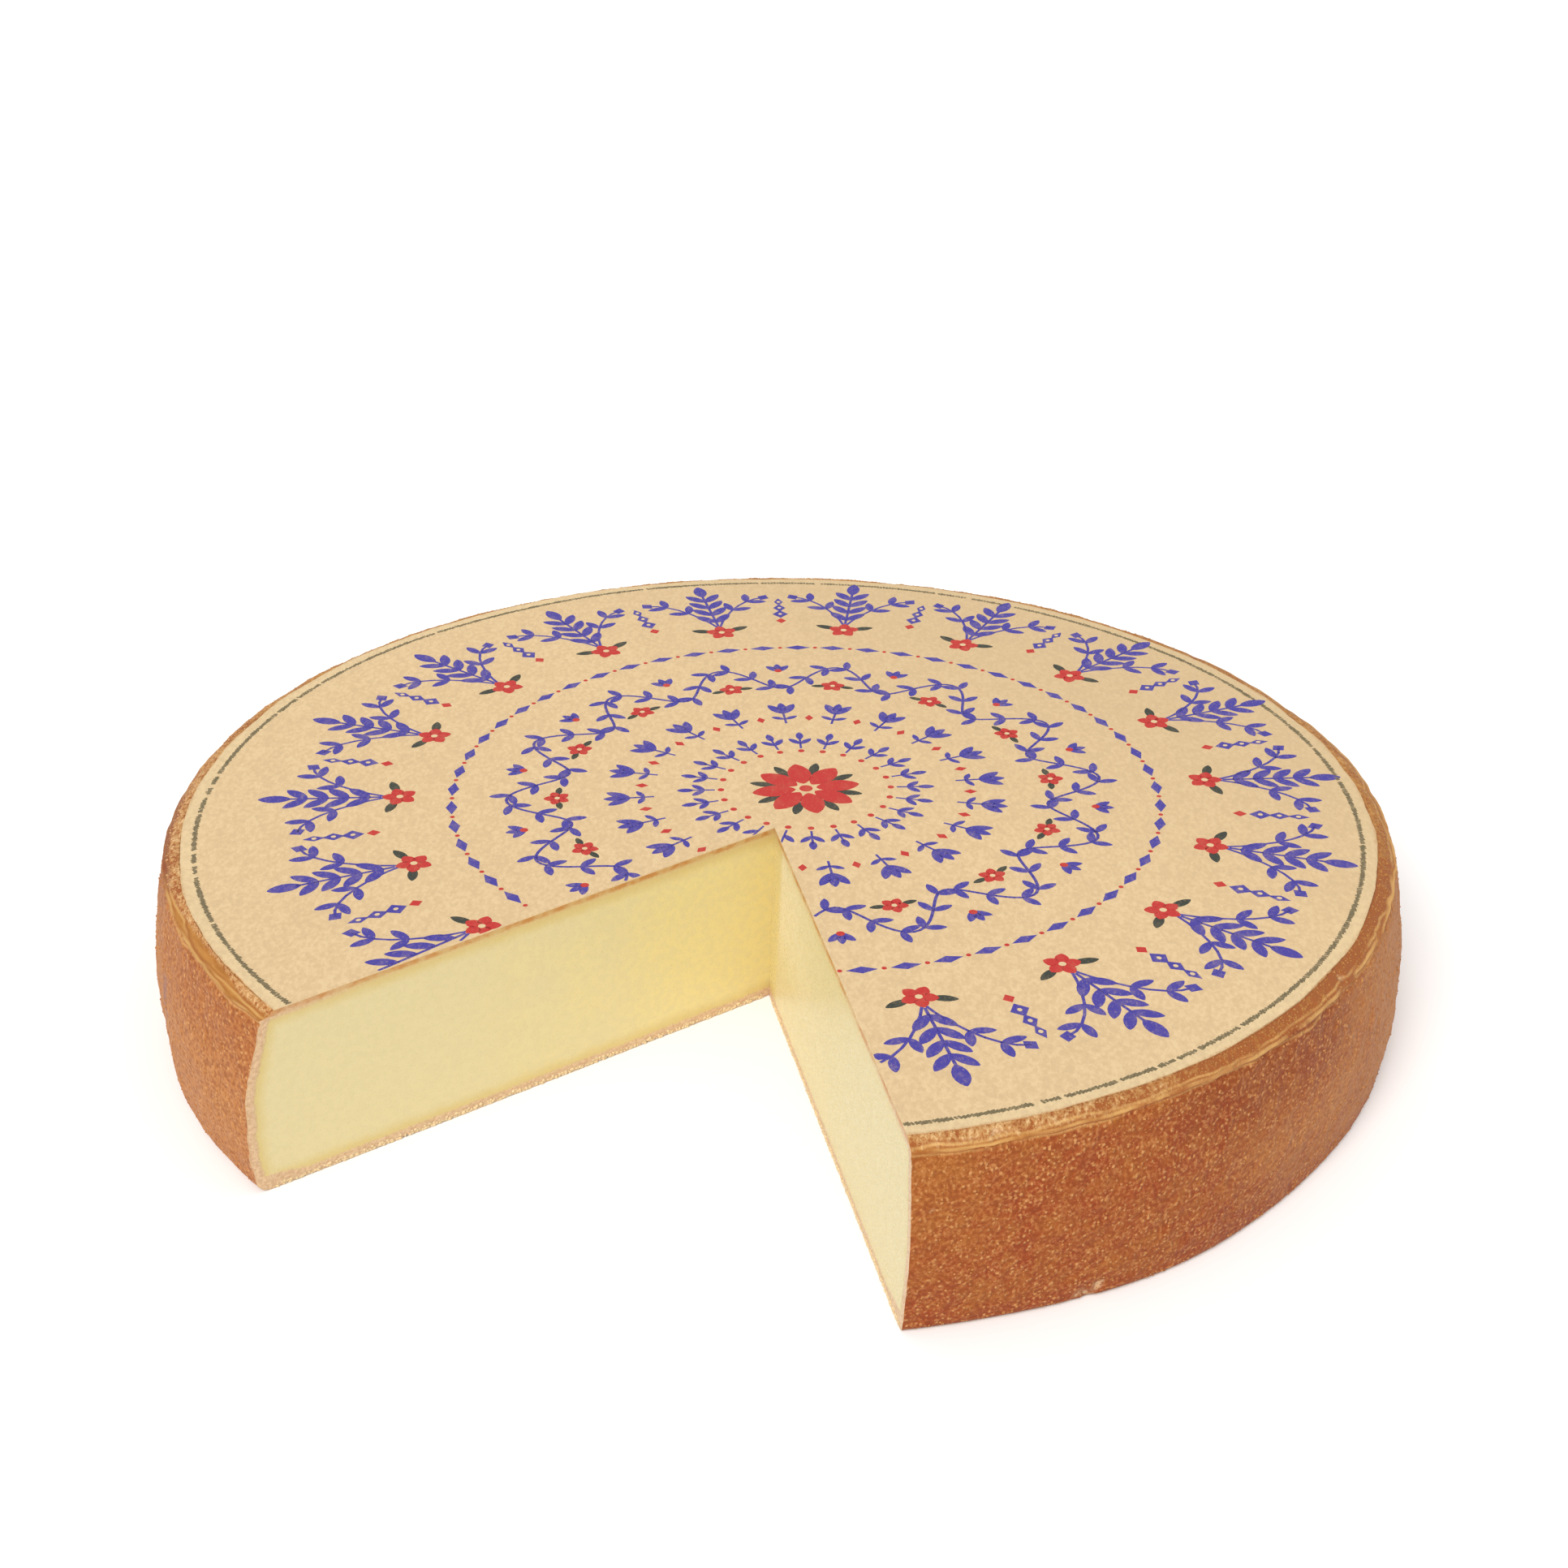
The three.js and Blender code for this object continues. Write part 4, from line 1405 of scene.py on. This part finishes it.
def bar():
    """Rectangle: the circle's points pushed out to the square round it."""
    return CIRCLE / np.abs(CIRCLE).max(-1, keepdims=True)


def lozenge():
    """Diamond: the circle's points drawn in until the two coordinates' sizes sum to one."""
    return CIRCLE / np.abs(CIRCLE).sum(-1, keepdims=True)


def stamp(outline, spots, heading, long, wide):
    """Copies of an outline at flat spots, each stretched and turned to its own heading."""
    heading, long, wide, _ = np.broadcast_arrays(heading, long, wide, spots[..., 0])
    x = outline[:, 0] * long[..., None] / 2.0
    y = outline[:, 1] * wide[..., None] / 2.0
    c, s = np.cos(heading)[..., None], np.sin(heading)[..., None]
    shapes = spots[..., None, :] + np.stack([x * c - y * s, x * s + y * c], -1)
    return shapes.reshape(-1, CORNERS, 2)


def polar(radius, angle):
    """Flat spots at a radius and an angle about the print's middle."""
    radius, angle = np.broadcast_arrays(radius, angle)
    return np.stack([radius * np.cos(angle), radius * np.sin(angle)], -1)


def spokes(count, start=0.0):
    """Evenly spaced angles, as a column so that parts of a motif can be laid along the rows."""
    return (start + np.arange(count) / count * FULL_TURN)[:, None]


def strand(path, wide):
    """A line of short bars from each point of a path to the next; paths run along the rows."""
    step = path[:, 1:] - path[:, :-1]
    middle = path[:, :-1] + step / 2.0
    reach = np.linalg.norm(step, axis=-1) + 0.5 * wide
    return stamp(bar(), middle, np.arctan2(step[..., 1], step[..., 0]), reach, wide)


def spray(spots, heading, turns, out, long, wide):
    """A leaf for each turn off the heading, its middle a little way out from the spot."""
    return [
        stamp(leaf(), spots + polar(out, heading + turn), heading + turn, long, wide)
        for turn in turns
    ]


def leaves(path, long, wide, tilt):
    """A leaf on each side of every second point of a path, tilted forward off its direction."""
    step = path[:, 2:] - path[:, :-2]
    heading = np.arctan2(step[..., 1], step[..., 0])[:, ::2]
    return spray(path[:, 1:-1][:, ::2], heading, (tilt, -tilt), 0.5 * long, long, wide)


def blossom(spots, heading, size, petals=5):
    """Round petals about each spot, the first one pointing along its heading."""
    turn = heading[..., None] + np.arange(petals) / petals * FULL_TURN
    middle = spots[..., None, :] + polar(0.27 * size, turn)
    return stamp(leaf(), middle, turn, 0.54 * size, 0.40 * size)


def bouquets(count, inner, outer):
    """Outer wreath: from each blossom rise a leafy sprig and two that arch away to the sides,
    with a stack of lozenges in each gap."""
    at, span = spokes(count, 0.06), outer - inner
    rise = np.linspace(0.10, 0.80, 10)
    middle = polar(inner + span * rise, at)
    blue = [strand(middle, 1.6 * MM), *leaves(middle, 15.5 * MM, 6.2 * MM, 0.72)]
    blue.append(stamp(leaf(), polar(outer - 0.11 * span, at), at, 17.0 * MM, 8.0 * MM))
    lean = 0.40 * FULL_TURN / count
    arch = np.linspace(0.0, 1.0, 8)
    for side in (1.0, -1.0):
        reach = inner + span * (0.04 + 0.66 * np.sin(arch * 1.45))
        path = polar(reach, at + side * lean * arch**1.1)
        blue += [strand(path, 1.5 * MM), *leaves(path[:, 2:], 12.5 * MM, 5.2 * MM, 0.8)]
        blue.append(stamp(lozenge(), path[:, -1:], at + side * 0.6, 9.0 * MM, 7.5 * MM))
    foot = polar(inner - 3.0 * MM, at)
    between = at + 0.5 * FULL_TURN / count
    stack = polar(inner + span * np.array([0.30, 0.44, 0.58]), between)
    widths = np.array([9.5, 7.5, 5.5]) * MM
    blue.append(stamp(lozenge(), stack, between, 11.5 * MM, widths))
    low = polar(inner + 0.15 * span, between)
    red = [blossom(foot, at, 17.0 * MM), stamp(lozenge(), low, between, 7.0 * MM, 6.0 * MM)]
    dark = spray(foot, at, (1.25, -1.25), 11.5 * MM, 13.0 * MM, 5.2 * MM)
    cream = [
        stamp(CIRCLE, foot, at, 3.6 * MM, 3.6 * MM), stamp(CIRCLE, stack, between, 2.6 * MM, 2.2 * MM)
    ]
    return blue, red, dark, cream


def chain(count, radius):
    """Slim ring of lozenges with a dot in each gap."""
    at = spokes(count, 0.02)
    gap = at + 0.5 * FULL_TURN / count
    pitch = FULL_TURN * radius / count
    blue = [stamp(lozenge(), polar(radius, at), at, 6.0 * MM, 0.72 * pitch)]
    return blue, [stamp(CIRCLE, polar(radius, gap), gap, 2.4 * MM, 2.4 * MM)]


def vine(waves, radius, swing):
    """Running vine: a cosine wave about a ring, leaves on both sides, a blossom in every bay."""
    steps = 24
    start = spokes(waves, 0.1)
    along = start + np.linspace(0.0, 1.0, steps + 1) * FULL_TURN / waves
    path = polar(radius + swing * np.cos((along - 0.1) * waves), along)
    bay = start + 0.5 * FULL_TURN / waves
    top = polar(radius + 0.65 * swing, bay)
    low = polar(radius - 0.75 * swing, start)
    blue = [strand(path, 1.6 * MM), *leaves(path[:, ::2], 11.0 * MM, 4.6 * MM, 0.85)]
    blue += spray(top, bay, (0.0, 0.75, -0.75), 4.0 * MM, 11.0 * MM, 4.6 * MM)
    red = [blossom(low, start, 13.0 * MM), stamp(CIRCLE, top, bay, 4.2 * MM, 4.2 * MM)]
    dark = spray(low, start, (1.7, -1.7), 8.0 * MM, 8.5 * MM, 3.6 * MM)
    return blue, red, dark, [stamp(CIRCLE, low, start, 2.8 * MM, 2.8 * MM)]


def tulips(count, radius):
    """Inner wreath: three-leaved tulips on short stems, with a red bud in each gap."""
    at = spokes(count, 0.13)
    stem = polar(radius + np.linspace(-12.0, 2.0, 4) * MM, at)
    cup = polar(radius, at)
    blue = [strand(stem, 1.3 * MM)]
    blue += spray(cup, at, (0.0, 0.55, -0.55), 7.0 * MM, 14.0 * MM, 5.4 * MM)
    blue += spray(stem[:, 1:2], at, (1.1, -1.1), 4.0 * MM, 8.0 * MM, 3.2 * MM)
    gap = at + 0.5 * FULL_TURN / count
    return blue, [stamp(lozenge(), polar(radius - 6.0 * MM, gap), gap, 7.0 * MM, 4.6 * MM)]


def sprigs(count, radius):
    """Innermost wreath: small upright sprigs of three leaves, with a red dot at each foot."""
    at = spokes(count, 0.05)
    stem = polar(radius + np.array([-8.0, 5.0]) * MM, at)
    top, foot = polar(radius + 7.0 * MM, at), polar(radius - 3.0 * MM, at)
    blue = [strand(stem, 1.2 * MM), stamp(leaf(), top, at, 9.0 * MM, 4.2 * MM)]
    blue += spray(foot, at, (0.75, -0.75), 4.5 * MM, 9.0 * MM, 3.6 * MM)
    return blue, [stamp(CIRCLE, polar(radius - 11.5 * MM, at), at, 3.4 * MM, 3.4 * MM)]


def rosette():
    """Middle ornament: eight red petals, a dark leaf between each two, and a red eye."""
    petals = spokes(8, 0.2)
    between = petals + 0.5 * FULL_TURN / 8.0
    red = [
        stamp(leaf(), polar(17.0 * MM, petals), petals, 23.0 * MM, 12.5 * MM),
        stamp(CIRCLE, np.zeros((1, 2)), 0.0, 7.0 * MM, 7.0 * MM),
    ]
    return red, [stamp(leaf(), polar(23.0 * MM, between), between, 14.0 * MM, 5.4 * MM)]


def corded_ring(radius):
    """Fine border: short slanted strokes side by side, like a worn twisted cord: their lengths,
    widths and places vary, and some are missing where a slow ripple round the ring is low."""
    rng = np.random.default_rng(61)
    at = spokes(CORD_STROKES)
    long = rng.uniform(1.7, 3.0, at.shape) * MM
    wide = rng.uniform(1.2, 2.2, at.shape) * MM
    slant = rng.uniform(0.1, 0.7, at.shape)
    out = radius + rng.uniform(-0.2, 0.2, at.shape) * MM
    shown = ripples(62, at * radius, 0.0, 8.0 * MM) + rng.uniform(-0.5, 0.5, at.shape) > -1.7
    at, long, wide, out, slant = (part[shown][:, None] for part in (at, long, wide, out, slant))
    return stamp(bar(), polar(out, at), at + slant, long, wide)


def print_layers(look):
    """Every shape of the print by ink, with how much the ink covers and how high it lies."""
    blue, red, dark, cream = bouquets(18, 214.0 * MM, 283.0 * MM)
    chain_blue, chain_red = chain(56, 184.0 * MM)
    vine_blue, vine_red, vine_dark, vine_cream = vine(14, 141.0 * MM, 15.0 * MM)
    tulip_blue, tulip_red = tulips(20, 92.0 * MM)
    sprig_blue, sprig_red = sprigs(24, 56.0 * MM)
    middle_red, middle_dark = rosette()
    return [
        ("print_blue", look.blue, 0.78, 0.0, blue + chain_blue + vine_blue + tulip_blue + sprig_blue),
        ("print_dark", look.dark, 0.86, 0.0, dark + vine_dark + middle_dark),
        ("print_red", look.red, 0.88, INK_RISE,
         red + chain_red + vine_red + tulip_red + sprig_red + middle_red),
        ("print_cream", look.border, 1.0, 2.0 * INK_RISE, cream + vine_cream),
    ]


def trimmed(shapes, notch):
    """Shapes stopped at the cuts: one whose middle is in the notch goes, and a corner in the notch
    slides back towards its middle to where that line leaves the paper."""
    middle = shapes.mean(1)
    start = notch.blocks(middle, CUT_MARGIN)
    kept = (start < 0.0).any(-1)
    shapes, middle, start = shapes[kept], middle[kept], start[kept][:, None]
    end = notch.blocks(shapes, CUT_MARGIN)
    gap = np.where(np.abs(start - end) < 1e-9, 1e-9, start - end)
    share = np.where(start < 0.0, np.clip(start / gap, 0.0, 1.0), 0.0).max(-1)
    inside = (end > 0.0).all(-1)
    share = np.where(inside, share, 1.0)[..., None]
    return middle[:, None] + share * (shapes - middle[:, None])


def ink_piece(name, shapes, look, shape, offset, material, lift=0.0):
    """Ink as thin closed plates that lie on the paper: a fan above, a fan below and a wall."""
    shapes = trimmed(np.concatenate(shapes) + np.array(offset), Notch(shape))
    count = len(shapes)
    middle = shapes.mean(1, keepdims=True)
    flat = np.concatenate([shapes, middle], 1)
    level = paper_height(flat[..., 0], flat[..., 1])
    upper = np.concatenate([flat, (level + INK_RISE + lift)[..., None]], -1)
    lower = np.concatenate([flat, (level - INK_RISE)[..., None]], -1)
    places = np.concatenate([upper, lower], 1).reshape(-1, 3)
    edge = np.arange(CORNERS)
    after = (edge + 1) % CORNERS
    hub = np.full(CORNERS, CORNERS)
    low = CORNERS + 1
    first = (np.arange(count) * 2 * low)[:, None, None]
    blocks = [
        first + np.stack([edge, after, hub], -1),
        first + low + np.stack([after, edge, hub], -1),
        first + np.stack([edge, edge + low, after + low, after], -1),
    ]
    patches = [Patch(block, planar_places(places, block, look)) for block in blocks]
    piece = build_mesh(name, places, patches, [material], sharp=math.radians(30))
    finish_piece(piece, "label_paper")


class CHEESE_OT_print(bpy.types.Operator):
    """Print: a wreath of bouquets, a chain, a running vine, tulips, sprigs and a rosette, each
    shape an outline stamped about the print's middle and stopped at the cuts, inside a fine
    corded ring"""

    bl_idname = "cheese.print"
    bl_label = "Label Print"

    def execute(self, context):
        look, shape = context.scene.cheese_print, context.scene.cheese_shape
        for name, ink, cover, lift, shapes in print_layers(look):
            material = ink_material(f"{name}_ink", ink, look.paper, cover)
            ink_piece(name, shapes, look, shape, look.offset, material, lift)
        material = ink_material("print_ring_ink", look.ring_ink, look.paper, 0.7)
        ink_piece("print_ring", [corded_ring(look.ring_radius)], look, shape, (0.0, 0.0), material)
        return {"FINISHED"}


# ------------------------------------------------------------------ the studio

SENSOR = 36.0            # width of the camera's sensor, in millimetres
FLOOR_HALF, FLOOR_DROP = 8.0, 0.2 * MM


def key_light(look):
    """A wide soft light, the same all over the floor, from above the front and a little left."""
    data = bpy.data.lights.new("key", "SUN")
    data.energy, data.angle, data.color = look.key, look.key_angle, (1.0, 0.985, 0.96)
    lamp = bpy.data.objects.new("key", data)
    lamp.rotation_euler = Vector(look.key_way).to_track_quat("-Z", "Y").to_euler()
    bpy.context.scene.collection.objects.link(lamp)


def floor_plane(look):
    """A wide flat sheet under the wheel, drawn a little below the base."""
    signs = ((-1, -1), (1, -1), (1, 1), (-1, 1))
    mesh = bpy.data.meshes.new("floor")
    corners = [(x * FLOOR_HALF, y * FLOOR_HALF, -FLOOR_DROP) for x, y in signs]
    mesh.from_pydata(corners, [], [(0, 1, 2, 3)])
    finish = Recipe(
        "floor", base_color=(*look.floor, 1.0), roughness=0.9, specular_ior_level=0.1
    )
    mesh.materials.append(finish.material)
    floor = bpy.data.objects.new("floor", mesh)
    bpy.context.scene.collection.objects.link(floor)


def place_camera(look):
    """A camera that looks from the eye to the aim, rolled a little about that line."""
    data = bpy.data.cameras.new("camera")
    data.lens, data.sensor_width = look.focal, SENSOR
    camera = bpy.data.objects.new("camera", data)
    eye, aim = Vector(look.eye), Vector(look.aim)
    turn = (aim - eye).to_track_quat("-Z", "Y").to_matrix() @ Matrix.Rotation(look.roll, 3, "Z")
    camera.matrix_world = Matrix.Translation(eye) @ turn.to_4x4()
    bpy.context.scene.collection.objects.link(camera)
    bpy.context.scene.camera = camera


def white_surround(look):
    """An even white light from all round."""
    world = bpy.data.worlds.new("surround")
    world.use_nodes = True
    background = world.node_tree.nodes["Background"]
    background.inputs["Color"].default_value = (1.0, 1.0, 1.0, 1.0)
    background.inputs["Strength"].default_value = look.surround
    bpy.context.scene.world = world


class CHEESE_OT_stage(bpy.types.Operator):
    """Stage: a pale floor, an even white surround, a soft light and the camera"""

    bl_idname = "cheese.stage"
    bl_label = "Studio"

    def execute(self, context):
        look = context.scene.cheese_studio
        floor_plane(look)
        white_surround(look)
        key_light(look)
        place_camera(look)
        context.scene.view_settings.view_transform = "Standard"
        return {"FINISHED"}


# ------------------------------------------------------------------ add-on parts

LOOKS = {
    "cheese_shape": WheelShape,
    "cheese_rind": RindLook,
    "cheese_paste": PasteLook,
    "cheese_print": LabelPrint,
    "cheese_studio": StudioLook,
}
STEPS = (
    CHEESE_OT_stage, CHEESE_OT_body, CHEESE_OT_crumbs, CHEESE_OT_cut_crumbs, CHEESE_OT_label,
    CHEESE_OT_print,
)


class CHEESE_PT_sidebar(bpy.types.Panel):
    """Lists the steps that build the wheel"""

    bl_label = "Cheese Wheel"
    bl_idname = "CHEESE_PT_sidebar"
    bl_space_type = "VIEW_3D"
    bl_region_type = "UI"
    bl_category = "Cheese Wheel"

    def draw(self, context):
        for step in STEPS:
            self.layout.operator(step.bl_idname)


def register():
    for made in (*LOOKS.values(), *STEPS, CHEESE_PT_sidebar):
        bpy.utils.register_class(made)
    for name, made in LOOKS.items():
        setattr(bpy.types.Scene, name, PointerProperty(type=made))


def unregister():
    for name in LOOKS:
        delattr(bpy.types.Scene, name)
    for made in (CHEESE_PT_sidebar, *STEPS[::-1], *list(LOOKS.values())[::-1]):
        bpy.utils.unregister_class(made)


def main():
    register()
    bpy.ops.cheese.stage()
    bpy.ops.cheese.body()
    bpy.ops.cheese.crumbs()
    bpy.ops.cheese.cut_crumbs()
    bpy.ops.cheese.label()
    bpy.ops.cheese.print()


if __name__ == "__main__":
    main()
